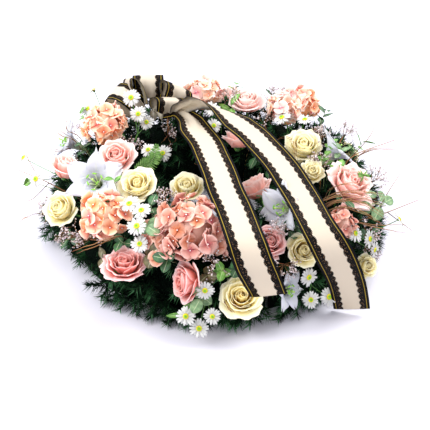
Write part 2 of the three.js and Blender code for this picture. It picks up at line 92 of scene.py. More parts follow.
def add_node(tree, kind, inputs=(), stops=(), out=None, **settings):
    """Adds a node and returns its first output in use, or the one named by out.

    Inputs go by name or in order: each is a value, a hex colour or an output to link."""
    node = tree.nodes.new(kind)
    for name, value in settings.items():
        setattr(node, name, value)
    if isinstance(inputs, dict):
        pairs = [(node.inputs[name], value) for name, value in inputs.items()]
    else:
        pairs = zip([socket for socket in node.inputs if socket.enabled], inputs)
    for socket, value in pairs:
        if isinstance(value, bpy.types.NodeSocket):
            tree.links.new(value, socket)
        else:
            socket.default_value = linear(value) if str(value).startswith("#") else value
    if stops:
        elements = node.color_ramp.elements
        while len(elements) < len(stops):
            elements.new(0.5)
        for element, (place, colour) in zip(elements, stops):
            element.position = place
            element.color = linear(colour)
    if out or not node.outputs:
        return node.outputs[out] if out else None
    return next(socket for socket in node.outputs if socket.enabled)


def new_material(name, **values):
    """A material of one Principled surface with the given inputs, its node tree and the surface."""
    material = bpy.data.materials.new(name)
    material.use_nodes = True
    surface = material.node_tree.nodes["Principled BSDF"]
    for key, value in values.items():
        socket = surface.inputs[key.replace("_", " ").title().replace("Ior", "IOR")]
        socket.default_value = linear(value) if str(value).startswith("#") else value
    return material, material.node_tree, surface


def in_millimetres(tree, scale=(1, 1, 1)):
    """The place on the object in millimetres, stretched by a scale."""
    place = add_node(tree, "ShaderNodeTexCoord", out="Object")
    factors = tuple(1000 * s for s in scale)
    return add_node(tree, "ShaderNodeMapping", {"Vector": place, "Scale": factors})


def grain(tree, scale, detail=2.0, stretch=(1, 1, 1)):
    """Uneven patches over the object, so many to a millimetre."""
    inputs = {"Vector": in_millimetres(tree, stretch), "Scale": scale, "Detail": detail}
    return add_node(tree, "ShaderNodeTexNoise", inputs)


def coloured(tree, surface, share, stops):
    """Colours a surface by a share along colour stops, and returns the colour."""
    colour = add_node(tree, "ShaderNodeValToRGB", (share,), stops)
    tree.links.new(colour, surface.inputs["Base Color"])
    return colour


def mixed_colour(tree, share, first, second, surface=None):
    """A colour between two by a share; it becomes the surface's own colour where one is given."""
    colour = add_node(tree, "ShaderNodeMix", (share, first, second), data_type="RGBA")
    if surface:
        tree.links.new(colour, surface.inputs["Base Color"])
    return colour


def marks_of(tree):
    """Where a point lies across and along its petal, leaf or ribbon, and its depth in the flower."""
    mark = add_node(tree, "ShaderNodeAttribute", out="Vector", attribute_name="mark")
    return add_node(tree, "ShaderNodeSeparateXYZ", (mark,)).node.outputs


def roughen(tree, surface, height, strength, distance=0.0002):
    """Raises a surface by a height, as a bump that is at most the distance in metres."""
    inputs = {"Height": height, "Strength": strength, "Distance": distance}
    tree.links.new(add_node(tree, "ShaderNodeBump", inputs), surface.inputs["Normal"])


def let_light_through(tree, surface, colour, share):
    """Mixes in light that passes through thin cloth: share is how much of it goes through one side."""
    through = add_node(tree, "ShaderNodeBsdfTranslucent", {"Color": colour})
    both = add_node(tree, "ShaderNodeMixShader", (share, surface.outputs["BSDF"], through))
    tree.links.new(both, tree.nodes["Material Output"].inputs["Surface"])


def straw_material():
    """Pale stalks laid along the ring: long thin streaks of yellow and brown, dull and rough."""
    material, tree, surface = new_material("pressed straw", roughness=0.85)
    streaks = grain(tree, 1.0, 6.0, (0.05, 0.05, 0.9))
    coloured(tree, surface, streaks, [(0.3, "#6E5226"), (0.5, "#B4935A"), (0.7, "#D9C08A")])
    roughen(tree, surface, streaks, 0.9, 0.001)
    return material


def wire_material():
    """Iron wire in a thin green lacquer: a hard small shine, with slightly worn lighter spots."""
    material, tree, surface = new_material("green coated wire", roughness=0.35, metallic=0.3)
    coloured(tree, surface, grain(tree, 0.4), [(0.4, "#1F3A26"), (0.75, "#4E6B50")])
    return material


coated_wire = wire_material()
ring_looks = {"straw_ring": straw_material(), "binding_wire": coated_wire, "ribbon_wire": coated_wire}
for node_name, material in ring_looks.items():
    for slot in nodes[node_name].material_slots:
        slot.material = material

# ---- The fir dressing ---------------------------------------------------------------------------
# Eight bundles of PVC fir lie over the ring: wire stalks with strip needles all round, which point out
# along the floor, up the sides and into the hole. A near-black sheet under the stalks is painted shade:
# it stands for the shadow deep between the sprays.

FIR_BRANCHES = 8
FIR_START = 18
FIR_SPAN = 360 / FIR_BRANCHES


class Shape:
    """Closed skins in millimetres. A point's mark is (across, along, depth) on its petal, leaf or stalk."""

    def __init__(self):
        self.points, self.faces, self.marks, self.tints, self.slots = [], [], [], [], []
        self.count = 0

    def add(self, points, faces, marks, tint=0.5, slots=0):
        """Adds points and faces; slots is one material number or one for each face."""
        self.points.append(points.reshape(-1, 3))
        self.faces += [tuple(int(i) + self.count for i in face) for face in faces]
        self.marks.append(np.broadcast_to(marks, (len(self.points[-1]), 3)))
        self.tints.append(np.full(len(self.points[-1]), tint))
        self.slots += [slots] * len(faces) if isinstance(slots, int) else list(slots)
        self.count += len(self.points[-1])

    def mesh(self, name, materials, centre=RING_CENTRE):
        """The mesh of this shape, in metres in the frame of the CAD."""
        mesh = bpy.data.meshes.new(name)
        mesh.from_pydata((np.concatenate(self.points) * MM + centre).tolist(), [], self.faces)
        for kind, key, values in (
            ("FLOAT_VECTOR", "mark", self.marks),
            ("FLOAT", "tint", self.tints),
        ):
            layer = mesh.attributes.new(key, kind, "POINT")
            layer.data.foreach_set("vector" if key == "mark" else "value", np.concatenate(values).ravel())
        for material in materials:
            mesh.materials.append(material)
        mesh.polygons.foreach_set("material_index", self.slots)
        mesh.polygons.foreach_set("use_smooth", [True] * len(mesh.polygons))
        return mesh


def skin(shape, grid, marks, thickness=0.5, tint=0.5, slots=(0, 0)):
    """Adds a grid of points as a thin closed sheet; slots are the materials of its two sides."""
    rows, columns = grid.shape[:2]
    normal = unit(np.cross(np.gradient(grid, axis=0), np.gradient(grid, axis=1)))
    sides = np.stack([grid + normal * thickness / 2, grid - normal * thickness / 2])
    number = np.arange(rows * columns).reshape(rows, columns)
    corners = [number[:-1, :-1], number[1:, :-1], number[1:, 1:], number[:-1, 1:]]
    upper = np.stack(corners, -1).reshape(-1, 4)
    under = upper[:, ::-1] + number.size
    edge = np.concatenate([number[0, :], number[1:, -1], number[-1, -2::-1], number[-2:0:-1, 0]])
    following = np.roll(edge, -1)
    rim = np.stack([edge, following, following + number.size, edge + number.size], -1)
    numbers = [slots[0]] * len(upper) + [slots[1]] * len(under) + [slots[0]] * len(rim)
    flat_marks = np.broadcast_to(marks, grid.shape).reshape(-1, 3)
    faces = np.concatenate([upper, under, rim])
    shape.add(sides, faces, np.concatenate([flat_marks, flat_marks]), tint, numbers)


def tube(shape, places, radii, sides=6, depth=0.0, tint=0.5, slot=0):
    """Adds a closed round stalk along places, with a radius at each."""
    places = np.asarray(places, float)
    radii = np.broadcast_to(radii, len(places))
    along = unit(np.gradient(places, axis=0))
    side = unit(np.cross(along[0], [0.3, 0.9, 0.2]))
    angles = np.linspace(0, 2 * math.pi, sides, endpoint=False)
    rings = []
    for place, direction, radius in zip(places, along, radii):
        side = unit(side - direction * np.dot(side, direction))
        other = np.cross(direction, side)
        rings.append(place + radius * (np.outer(np.cos(angles), side) + np.outer(np.sin(angles), other)))
    faces = []
    for k in range(len(places) - 1):
        for i in range(sides):
            low, following = k * sides + i, k * sides + (i + 1) % sides
            faces.append((low, following, following + sides, low + sides))
    faces.append(tuple(reversed(range(sides))))
    faces.append(tuple(range((len(places) - 1) * sides, len(places) * sides)))
    marks = np.zeros((len(places) * sides, 3))
    marks[:, 1] = np.repeat(np.linspace(0, 1, len(places)), sides)
    marks[:, 2] = depth
    shape.add(np.concatenate(rings), faces, marks, tint, slot)


def on_axis(heights):
    """Points on the axis of a flower at the given heights."""
    return np.stack([np.zeros(len(heights)), np.zeros(len(heights)), heights], -1)


def curve_through(places, count):
    """Points at equal shares of a centripetal Catmull-Rom curve through places."""
    places = np.asarray(places, float)
    ends = np.vstack([2 * places[0] - places[1], places, 2 * places[-1] - places[-2]])
    found = []
    for share in np.linspace(0, len(places) - 1, count):
        k = min(int(share), len(places) - 2)
        t = share - k
        a, b, c, d = ends[k : k + 4]
        steps = [max(np.linalg.norm(q - p) ** 0.5, 1e-4) for p, q in ((a, b), (b, c), (c, d))]
        before = (b - a) / steps[0] - (c - a) / (steps[0] + steps[1]) + (c - b) / steps[1]
        after = (c - b) / steps[1] - (d - b) / (steps[1] + steps[2]) + (d - c) / steps[2]
        start, stop = before * steps[1], after * steps[1]
        second = 3 * (c - b) - 2 * start - stop
        third = 2 * (b - c) + start + stop
        found.append(b + start * t + second * t**2 + third * t**3)
    return np.array(found)


def geometry_tree(name, **inputs):
    """A Geometry Nodes tree with inputs of the given kinds, and the sockets that give them, by name."""
    tree = bpy.data.node_groups.new(name, "GeometryNodeTree")
    tree.interface.new_socket("Geometry", in_out="INPUT", socket_type="NodeSocketGeometry")
    for label, kind in inputs.items():
        tree.interface.new_socket(label, in_out="INPUT", socket_type="NodeSocket" + kind)
    tree.interface.new_socket("Geometry", in_out="OUTPUT", socket_type="NodeSocketGeometry")
    return tree, add_node(tree, "NodeGroupInput").node.outputs


def grown(mesh, tree, values):
    """Runs a tree on a mesh with its inputs set by name, and returns the plain mesh that comes out."""
    carrier = bpy.data.objects.new(mesh.name, mesh)
    bpy.context.scene.collection.objects.link(carrier)
    modifier = carrier.modifiers.new(tree.name, "NODES")
    modifier.node_group = tree
    for item in tree.interface.items_tree:
        if item.in_out == "INPUT" and item.name in values:
            modifier[item.identifier] = values[item.name]
    graph = bpy.context.evaluated_depsgraph_get()
    plain = bpy.data.meshes.new_from_object(
        carrier.evaluated_get(graph), preserve_all_data_layers=True, depsgraph=graph
    )
    bpy.data.objects.remove(carrier)
    return plain


def make_piece(name, meshes, node=None):
    """Joins meshes into one piece that rides on the wreath and stands for a CAD node, if it is one."""
    parts = [bpy.data.objects.new(name, mesh) for mesh in meshes]
    for part in parts:
        bpy.context.scene.collection.objects.link(part)
    if len(parts) > 1:
        with bpy.context.temp_override(
            active_object=parts[0], object=parts[0], selected_editable_objects=parts
        ):
            bpy.ops.object.join()
    piece = parts[0]
    piece.name = name
    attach(piece, "root")
    if node in nodes:
        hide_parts(node)
    return piece


def turned_by(tree, rotation, axis, angle):
    """A rotation in a tree, turned further by an angle about its own axis."""
    euler = add_node(tree, "ShaderNodeCombineXYZ", {axis: angle})
    turn = add_node(tree, "FunctionNodeEulerToRotation", (euler,))
    return add_node(tree, "FunctionNodeRotateRotation", (rotation, turn), rotation_space="LOCAL")


def set_on_points(tree, seed, points, part, rotation, scale, attribute):
    """Sets a part on every point, marks each with a random share, and makes plain geometry of them."""
    inputs = {"Points": points, "Instance": part, "Rotation": rotation, "Scale": scale}
    copies = add_node(tree, "GeometryNodeInstanceOnPoints", inputs)
    share = add_node(tree, "FunctionNodeRandomValue", (0.0, 1.0, 5, seed))
    inputs = {"Geometry": copies, "Name": attribute, "Value": share}
    marked = add_node(
        tree, "GeometryNodeStoreNamedAttribute", inputs, data_type="FLOAT", domain="INSTANCE"
    )
    return add_node(tree, "GeometryNodeRealizeInstances", (marked,))


def finish_tree(tree, given, geometry):
    """Paints the geometry of a tree with the material given, and hands it out."""
    inputs = {"Geometry": geometry, "Material": given["Material"]}
    painted = add_node(tree, "GeometryNodeSetMaterial", inputs)
    add_node(tree, "NodeGroupOutput", {"Geometry": painted})
    return tree


# A needle leans from its stalk by LEAN_AT_FOOT, or LEAN_AT_TIP at the tip, give or take LEAN_SCATTER,
# in radians. Needles keep above the floor by FLOOR_GAP, in metres.
LEAN_AT_FOOT, LEAN_AT_TIP, LEAN_SCATTER = 1.15, 0.8, 0.26
FLOOR_GAP = 0.001
STRIP_FLATNESS = 0.35


def needle_tree():
    """Strip needles round every stalk: each leans towards the tip, at a random angle about the stalk.

    Needles that would pass through the floor lie on it."""
    tree, given = geometry_tree(
        "fir needles",
        Length="Float", Width="Float", Spacing="Float", Seed="Int", Material="Material",
    )
    seed = given["Seed"]
    stalks = add_node(tree, "GeometryNodeMeshToCurve", {"Mesh": given["Geometry"]})
    inputs = {"Curve": stalks, "Length": given["Spacing"]}
    evenly = add_node(tree, "GeometryNodeResampleCurve", inputs, mode="LENGTH")
    share = add_node(tree, "GeometryNodeSplineParameter")
    inputs = {"Geometry": evenly, "Name": "along", "Value": share}
    marked = add_node(tree, "GeometryNodeStoreNamedAttribute", inputs, data_type="FLOAT")
    spots = add_node(tree, "GeometryNodeCurveToPoints", {"Curve": marked}, mode="EVALUATED")
    tangent = {"Vector": spots.node.outputs["Tangent"]}
    forward = add_node(tree, "FunctionNodeAlignRotationToVector", tangent, axis="Z")
    about = add_node(tree, "FunctionNodeRandomValue", (0.0, 2 * math.pi, 0, seed))
    along = add_node(tree, "GeometryNodeInputNamedAttribute", ("along",), data_type="FLOAT")
    ends = {"Value": along, "To Min": LEAN_AT_FOOT, "To Max": LEAN_AT_TIP}
    lean = add_node(tree, "ShaderNodeMapRange", ends)
    scatter = add_node(tree, "FunctionNodeRandomValue", (-LEAN_SCATTER, LEAN_SCATTER, 7, seed))
    leant = add_node(tree, "ShaderNodeMath", (lean, scatter))
    leaning = turned_by(tree, turned_by(tree, forward, "Z", about), "X", leant)
    inputs = {"Vertices": 3, "Radius Top": 0.0, "Radius Bottom": given["Width"], "Depth": given["Length"]}
    needle = add_node(tree, "GeometryNodeMeshCone", inputs, fill_type="NGON")
    flat = {"Geometry": needle, "Scale": (1.0, STRIP_FLATNESS, 1.0)}
    strip = add_node(tree, "GeometryNodeTransform", flat)
    taper = add_node(tree, "ShaderNodeMapRange", {"Value": along, "To Min": 1.0, "To Max": 0.92})
    size = add_node(tree, "FunctionNodeRandomValue", (0.78, 1.12, 3, seed))
    scale = add_node(tree, "ShaderNodeMath", (taper, size), operation="MULTIPLY")
    plain = set_on_points(tree, seed, spots, strip, leaning, scale, "tint")
    place = add_node(tree, "GeometryNodeInputPosition")
    x, y, z = add_node(tree, "ShaderNodeSeparateXYZ", (place,)).node.outputs
    above_floor = add_node(tree, "ShaderNodeMath", (z, FLOOR_GAP), operation="MAXIMUM")
    kept_up = add_node(tree, "ShaderNodeCombineXYZ", (x, y, above_floor))
    inputs = {"Geometry": plain, "Position": kept_up}
    return finish_tree(tree, given, add_node(tree, "GeometryNodeSetPosition", inputs))


def fir_material():
    """Dark green PVC strip with a soft plastic shine.

    Near black at the foot of each stalk, as painted shade deep in the sprays, and lighter green at the
    tips, as a painted highlight; a random tint varies each needle.
    """
    material, tree, surface = new_material("fir needles", roughness=0.6, specular_ior_level=0.08)
    tint = add_node(tree, "ShaderNodeAttribute", out="Fac", attribute_name="tint")
    along = add_node(tree, "ShaderNodeAttribute", out="Fac", attribute_name="along")
    # Low at a stalk's foot for painted shade, high at its tips for a painted highlight, times each needle's
    # random tint.
    light = add_node(tree, "ShaderNodeMath", (along, tint), operation="MULTIPLY")
    stops = [(0.0, "#050E07"), (0.3, "#0D2412"), (0.6, "#1E4524"), (1.0, "#45704A")]
    coloured(tree, surface, light, stops)
    roughen(tree, surface, grain(tree, 0.9), 0.3)
    return material


def shade_sheet_material():
    """A sheet under the stalks, nearly black green and broken up by short strips: painted shade deep
    between the sprays.
    """
    material, tree, surface = new_material("cut fir mat", roughness=0.9, specular_ior_level=0.03)
    inputs = {"Vector": in_millimetres(tree, (0.35, 0.35, 0.1)), "Scale": 1.0}
    cells = add_node(tree, "ShaderNodeTexVoronoi", inputs)
    # Near-black greens: painted shade of the depths between the sprays.
    coloured(tree, surface, cells, [(0.0, "#020503"), (0.8, "#061009"), (1.0, "#0C1F11")])
    roughen(tree, surface, cells, 1.0, 0.004)
    return material


# Rows of sprays: how many in one branch, foot and tip of the stalk as (distance from Z, height), how
# far the tip swings round the ring in degrees, and how many side twigs fork from it.
FIR_ROWS = [
    (3, (290, 16), (376, 10), 4, 4),
    (3, (296, 38), (382, 30), 4, 4),
    (3, (294, 64), (372, 66), 5, 4),
    (4, (286, 92), (352, 112), 5, 2),
    (4, (262, 118), (318, 148), 6, 1),
    (4, (236, 126), (262, 168), 8, 0),
    (4, (214, 122), (196, 162), 8, 0),
    (4, (190, 108), (140, 132), 9, 0),
    (4, (182, 84), (124, 92), 8, 0),
    (3, (168, 48), (112, 50), 9, 0),
    (3, (164, 18), (112, 14), 9, 0),
]
# The upper outline of the painted-shade sheet, from the outer edge to the hole, as (distance from Z,
# height).
SHADE_SHEET_SECTION = [
    (318, 3), (320, 44), (302, 86), (270, 118), (236, 128), (204, 118), (170, 92), (146, 50), (142, 3)
]
SHADE_SHEET_ROWS = 15
TWIG_SPREAD = 6
LOWEST_STALK = 9
# How much of its row's length a spray has. Those between two angles on the left are longer.
SHORTEST, LONGEST = 0.74, 0.98
LONG_FROM, LONG_TO, LONG_BY = 176, 200, 0.14
# On the left of the front the sprays whose feet are past OUTER_FOOT are short: the edge has a bay.
BAY_MIDDLE, BAY_WIDTH, BAY_DEPTH = 218, 12, 0.62
OUTER_FOOT = 280
NEEDLE_SIZES = {"Length": 0.022, "Width": 0.0018, "Spacing": 0.00065}


def spray_line(foot, tip, drop, stretch, around, turn, twig, rng):
    """Four points up a stalk, or up a side twig that leaves it on the left or the right."""
    first, last, spread, lift = 0.0, 1.0, 0.0, 0.0
    if twig:
        first = 0.14 * twig + 0.1
        last = min(first + 0.55, 0.95)
        spread = TWIG_SPREAD * (1 if twig % 2 else -1) * rng.uniform(0.8, 1.2)
        lift = rng.uniform(-8, 8)
    line = []
    for share in np.linspace(0, 1, 4):
        reach = first + (last - first) * share
        radius = foot[0] + (tip[0] - foot[0]) * reach * stretch
        height = foot[1] + (tip[1] - foot[1] + drop) * reach + 7 * math.sin(math.pi * reach)
        spoke = math.radians(around + turn * reach + spread * share)
        height = max(height + lift * share, LOWEST_STALK)
        line.append([radius * math.cos(spoke), radius * math.sin(spoke), height])
    return line


def fir_branch(index, tree, needles, shade_sheet):
    """One bundle: sprays that arch up with needles over a rounded, lumpy, near-black sheet of painted
    shade.
    """
    rng = np.random.default_rng(100 + index)
    start = FIR_START + index * FIR_SPAN
    points, edges = [], []
    for count, foot, tip, swing, twigs in FIR_ROWS:
        for k in range(count):
            around = start + FIR_SPAN * (k + 0.5 + rng.uniform(-0.25, 0.25)) / count
            turn = rng.uniform(-swing, swing)
            drop = rng.uniform(-5, 7)
            stretch = rng.uniform(SHORTEST, LONGEST) + (LONG_BY if LONG_FROM < around < LONG_TO else 0)
            if foot[0] > OUTER_FOOT:
                stretch -= BAY_DEPTH * math.exp(-(((around - BAY_MIDDLE) / BAY_WIDTH) ** 4))
            for twig in range(twigs + 1):
                edges += [(len(points) + i, len(points) + i + 1) for i in range(3)]
                points += spray_line(foot, tip, drop, stretch, around, turn, twig, rng)
    stalks = bpy.data.meshes.new("fir stalks")
    stalks.from_pydata((np.array(points) * MM + RING_CENTRE).tolist(), edges, [])
    needle_mesh = grown(stalks, tree, {**NEEDLE_SIZES, "Seed": index, "Material": needles})
    shape = Shape()
    grid = np.zeros((SHADE_SHEET_ROWS, len(SHADE_SHEET_SECTION), 3))
    for i in range(SHADE_SHEET_ROWS):
        spoke = math.radians(start + 0.5 + (FIR_SPAN - 1) * i / (SHADE_SHEET_ROWS - 1))
        for j, (radius, height) in enumerate(SHADE_SHEET_SECTION):
            lump = rng.uniform(-5, 5) if 0 < j < len(SHADE_SHEET_SECTION) - 1 else 0
            out = radius + lump
            grid[i, j] = [out * math.cos(spoke), out * math.sin(spoke), height + abs(lump)]
    # The near-black sheet of painted shade under the sprays.
    skin(shape, grid, (0, 0, 0), thickness=2.5)
    meshes = [needle_mesh, shape.mesh("cut fir mat", [shade_sheet])]
    make_piece(f"fir_bundle_{index + 1}", meshes, f"fir_branch_{index + 1}")


fir_looks = (needle_tree(), fir_material(), shade_sheet_material())
for number in range(FIR_BRANCHES):
    fir_branch(number, *fir_looks)

# ---- Roses --------------------------------------------------------------------------------------
# Silk roses on wire stems: heat-formed polyester petals in layers round a tight bud, deeper in colour
# towards the heart, with rims that roll back and a green plastic calyx underneath.


def stand(points, middle, facing, spin=0.0):
    """Turns points modelled about Z by a spin, then turns their Z to a direction and moves them."""
    turn = Vector((0, 0, 1)).rotation_difference(Vector(facing)).to_matrix()
    cosine, sine = math.cos(spin), math.sin(spin)
    about = np.array([[cosine, -sine, 0], [sine, cosine, 0], [0, 0, 1]])
    return points @ (np.array(turn) @ about).T + middle


def aim_of(spot):
    """The middle, size and facing of a flower; it faces straight out unless its spot says otherwise."""
    around, lean, reach, size, *aim = spot
    middle = at(around, lean, reach)
    facing = towards(*aim) if aim else unit(middle - at(around, lean, 0))
    return middle, size, facing


def stem(shape, spot, top, steps=3, **look):
    """The wire stem of a flower, from inside the straw up to its top."""
    root = at(spot[0], spot[1], STEM_DEPTH)
    tube(shape, curve_through([root, top], steps), STEM_RADIUS, 6, **look)


def petal_grid(directions, length, half_width, outline, start, grip, rows=9, columns=9, **form):
    """A petal that leaves the axis of its flower at start = (radius, height) and runs along +X.

    directions are degrees from the axis at its foot, middle and rim; grip is the radius of its hollow
    as a share of its distance from the axis. Returns a grid of points and their marks."""
    across, along = np.meshgrid(np.linspace(-1, 1, columns), np.linspace(0, 1, rows))
    reach = along * (1 - form.get("rounded", 0.2) * np.abs(across) ** 2.6)
    reach += form.get("point", 0) * along**4 * (1 - np.abs(across)) ** 2
    fine = np.linspace(0, 1.2, 49)
    foot, middle, rim = np.radians(directions)
    bend = foot * (1 - fine) * (1 - 2 * fine) + middle * 4 * fine * (1 - fine) + rim * fine * (2 * fine - 1)
    step = length * (fine[1] - fine[0])
    radius = start[0] + np.concatenate([[0], np.cumsum((np.sin(bend[1:]) + np.sin(bend[:-1])) / 2) * step])
    height = start[1] + np.concatenate([[0], np.cumsum((np.cos(bend[1:]) + np.cos(bend[:-1])) / 2) * step])
    out, up = np.interp(reach, fine, radius), np.interp(reach, fine, height)
    out += form.get("spiral", 0) * across
    width = half_width * np.interp(reach, np.linspace(0, 1, len(outline)), outline)
    hollow = np.maximum(np.abs(out) * grip, form.get("least_hollow", 0.07))
    angle = np.clip(across * width / hollow, -2.6, 2.6)
    waves = form.get("waves", 2) * math.pi * across + form.get("phase", 0)
    wave = form.get("ripple", 0) * along**3 * np.sin(waves)
    lift = form.get("roll", 0) * np.abs(across) ** 5 * along + wave
    x = out - hollow + (hollow + lift) * np.cos(angle)
    y = (hollow + lift) * np.sin(angle)
    z = up + wave * 0.5 - form.get("roll", 0) * 0.5 * np.abs(across) ** 5 * along
    marks = np.stack([across, along, np.full_like(across, form.get("depth", 0))], -1)
    return np.stack([x, y, z], -1), marks


ROSE_OUTLINE = (0.35, 0.72, 0.95, 1.0, 0.99, 0.93)
SEPAL_OUTLINE = (0.6, 1, 0.8, 0.5, 0.12)
SEPAL_TURN = 1.2566
# The layers of a rose in flower diameters: petals, directions from the axis, length, half width, foot
# radius, grip, roll of the rim.
ROSE_LAYERS = [
    (3, (16, -3, -18), 0.42, 0.16, 0.02, 1.0, 0.0),
    (3, (30, 0, -6), 0.45, 0.2, 0.04, 1.0, 0.004),
    (4, (48, 6, 4), 0.49, 0.24, 0.06, 1.0, 0.006),
    (5, (68, 11, 16), 0.52, 0.27, 0.075, 0.98, 0.01),
    (5, (84, 20, 38), 0.54, 0.3, 0.08, 0.96, 0.018),
    (5, (95, 40, 88), 0.52, 0.31, 0.08, 1.02, 0.03),
]


def rose(name, spot, looks, seed, look):
    """A rose at its spot. look sets how open it is, its height, the ripple of its rims and its tint."""
    opened, tall, ripple, tint = look
    rng = np.random.default_rng(seed)
    middle, size, facing = aim_of(spot)
    shape = Shape()
    spin = rng.uniform(0, 6.28)
    for layer, (count, directions, length, half_width, foot, grip, roll) in enumerate(ROSE_LAYERS):
        depth = layer / (len(ROSE_LAYERS) - 1)
        opening = (opened - 1) * (18 + 34 * depth)
        turned_out = [d + opening * share for d, share in zip(directions, (0.3, 0.8, 1))]
        spin += 0.9
        for k in range(count):
            jitter = [d + rng.normal(0, 4 + 4 * depth) for d in turned_out]
            grid, marks = petal_grid(
                jitter,
                length * rng.uniform(0.94, 1.05),
                half_width * rng.uniform(0.93, 1.06),
                ROSE_OUTLINE,
                (foot, -0.3),
                grip,
                rounded=0.14,
                spiral=0.016,
                roll=roll * rng.uniform(0.5, 1.4),
                ripple=ripple * (0.3 + depth) * rng.uniform(0.6, 1.3),
                waves=rng.uniform(1.4, 2.6),
                phase=rng.uniform(0, 6.28),
                depth=depth,
            )
            grid[..., 2] *= tall
            turn = spin + 2 * math.pi * k / count + rng.normal(0, 0.1)
            placed = stand(grid * size, middle, facing, turn)
            skin(shape, placed, marks, thickness=0.5, tint=tint + rng.uniform(-0.08, 0.08))
    calyx(shape, middle, size, facing, spot, tall)
    make_piece(name + "_petals", [shape.mesh(name, looks)], name)


def calyx(shape, middle, size, facing, spot, tall=1.0):
    """The green cup with five sepals under a rose, on its wire stem down into the straw."""
    heights = np.array([-0.42, -0.41, -0.37, -0.31, -0.27]) * size * tall
    radii = np.array([0.03, 0.06, 0.085, 0.07, 0.02]) * size
    tube(shape, stand(on_axis(heights), middle, facing), radii, 10, depth=0.6, slot=1)
    for k in range(5):
        grid, marks = petal_grid(
            (70, 30, 75), 0.34, 0.055, SEPAL_OUTLINE, (0.05, -0.36 * tall), 1.0, 6, 5, depth=0.5
        )
        placed = stand(grid * size, middle, facing, k * SEPAL_TURN)
        skin(shape, placed, marks, thickness=0.6, slots=(1, 1))
    root = at(spot[0], spot[1], STEM_DEPTH)
    base = middle - facing * size * 0.4 * tall
    tube(shape, curve_through([root, (root + base) / 2, base], 6), STEM_RADIUS, 6, depth=0.2, slot=1)


def petal_cloth(name, stops, pale):
    """Thin dyed polyester, deeper towards the heart and the petal feet, partly as airbrushed dye and partly
    as painted shade of the deep cup; a faint weave, veins and a soft sheen.

    Each flower's tint moves it towards the pale colour, and light comes through the petals."""
    material, tree, surface = new_material(
        name, roughness=0.68, specular_ior_level=0.25, sheen_weight=0.1
    )
    across, along, depth = marks_of(tree)
    # Low shares, at the heart and the petal feet, take the deep colours: partly airbrushed dye, partly
    # painted shade.
    outer = add_node(tree, "ShaderNodeMath", (depth, 0.4), operation="MULTIPLY")
    rimward = add_node(tree, "ShaderNodeMath", (along, 2.6), operation="POWER")
    share = add_node(tree, "ShaderNodeMath", (rimward, 0.55, outer), operation="MULTIPLY_ADD")
    patches = (grain(tree, 0.07, 3.0), 0.3, share)
    uneven = add_node(tree, "ShaderNodeMath", patches, operation="MULTIPLY_ADD")
    shifted = add_node(tree, "ShaderNodeMath", (uneven, 0.07), operation="SUBTRACT")
    dye_and_shade = add_node(tree, "ShaderNodeValToRGB", (shifted,), stops)
    tint = add_node(tree, "ShaderNodeAttribute", out="Fac", attribute_name="tint")
    colour = mixed_colour(tree, tint, dye_and_shade, pale, surface)
    lines = add_node(tree, "ShaderNodeCombineXYZ", (across, along, depth))
    stretched = add_node(tree, "ShaderNodeMapping", {"Vector": lines, "Scale": (14, 1.6, 9)})
    veins = add_node(tree, "ShaderNodeTexNoise", {"Vector": stretched, "Scale": 1.0, "Detail": 4.0})
    weave = (veins, 2.0, grain(tree, 1.6))
    height = add_node(tree, "ShaderNodeMath", weave, operation="MULTIPLY_ADD")
    roughen(tree, surface, height, 0.35, 0.0006)
    let_light_through(tree, surface, colour, 0.5)
    return material


def green_material():
    """Moulded green plastic of calyxes and stems: satin, in random patches of three greens."""
    material, tree, surface = new_material("green plastic", roughness=0.45)
    patches = grain(tree, 0.15, 4.0)
    coloured(tree, surface, patches, [(0.3, "#2E5A22"), (0.55, "#4C7F31"), (0.8, "#7FA84A")])
    roughen(tree, surface, patches, 0.4)
    return material


# A rose's spot: around, lean, reach, size and, where it doesn't face straight out, the bearing and the
# height that it faces. Then its look: opened, tall, ripple, tint.
PINK_ROSES = [
    ((189, 33, 140, 80, 20, 72), (0.85, 1.05, 0.03, 0.05)),
    ((196, -10, 150, 84, 265, 60), (1.0, 1.0, 0.022, 0.15)),
    ((242, 60, 140, 88, 262, 82), (1.25, 0.9, 0.03, 0.1)),
    ((261, 65, 138, 84, 208, 18), (0.95, 1.0, 0.015, 0.0)),
    ((68, -50, 140, 82, 90, 60), (1.0, 1.0, 0.015, 0.3)),
    ((304, -42, 149, 75, 150, 60), (0.9, 1.1, 0.03, 0.2)),
    ((288, 36, 130, 75), (0.9, 1.0, 0.015, 0.2)),
    ((332, 26, 150, 106), (1.3, 0.9, 0.04, 0.35)),
    ((70, -12, 150, 85), (1.0, 1.0, 0.015, 0.55)),
    ((84, 55, 140, 82), (1.0, 1.0, 0.015, 0.5)),
]
CREAM_ROSES = [
    ((228, -4, 150, 84, 258, 62), (1.05, 1.0, 0.018, 0.3)),
    ((207, 53, 140, 82, 240, 48), (0.95, 1.0, 0.018, 0.2)),
    ((277, 75, 140, 88, 268, 62), (1.2, 0.9, 0.012, 0.0)),
    ((244, -43, 152, 78, 270, 68), (0.8, 1.1, 0.012, 0.0)),
    ((298, 50, 138, 70, 285, 45), (0.9, 1.0, 0.012, 0.0)),
    ((359, -21, 150, 88, 262, 68), (1.05, 1.0, 0.02, 0.6)),
    ((332, -8, 138, 55, 270, 60), (0.9, 1.1, 0.03, 0.3)),
    ((324, 96, 137, 55, 300, 40), (0.9, 1.0, 0.012, 0.2)),
    ((30, 88, 128, 82), (1.0, 1.0, 0.012, 0.3)),
]
pink_cloth = petal_cloth(
    "pink rose cloth",
    [(0.05, "#E0452C"), (0.24, "#F9876E"), (0.44, "#FFC0AE"), (0.7, "#FFDDD3"), (1.0, "#FFF0EC")],
    "#FFF2EE",
)
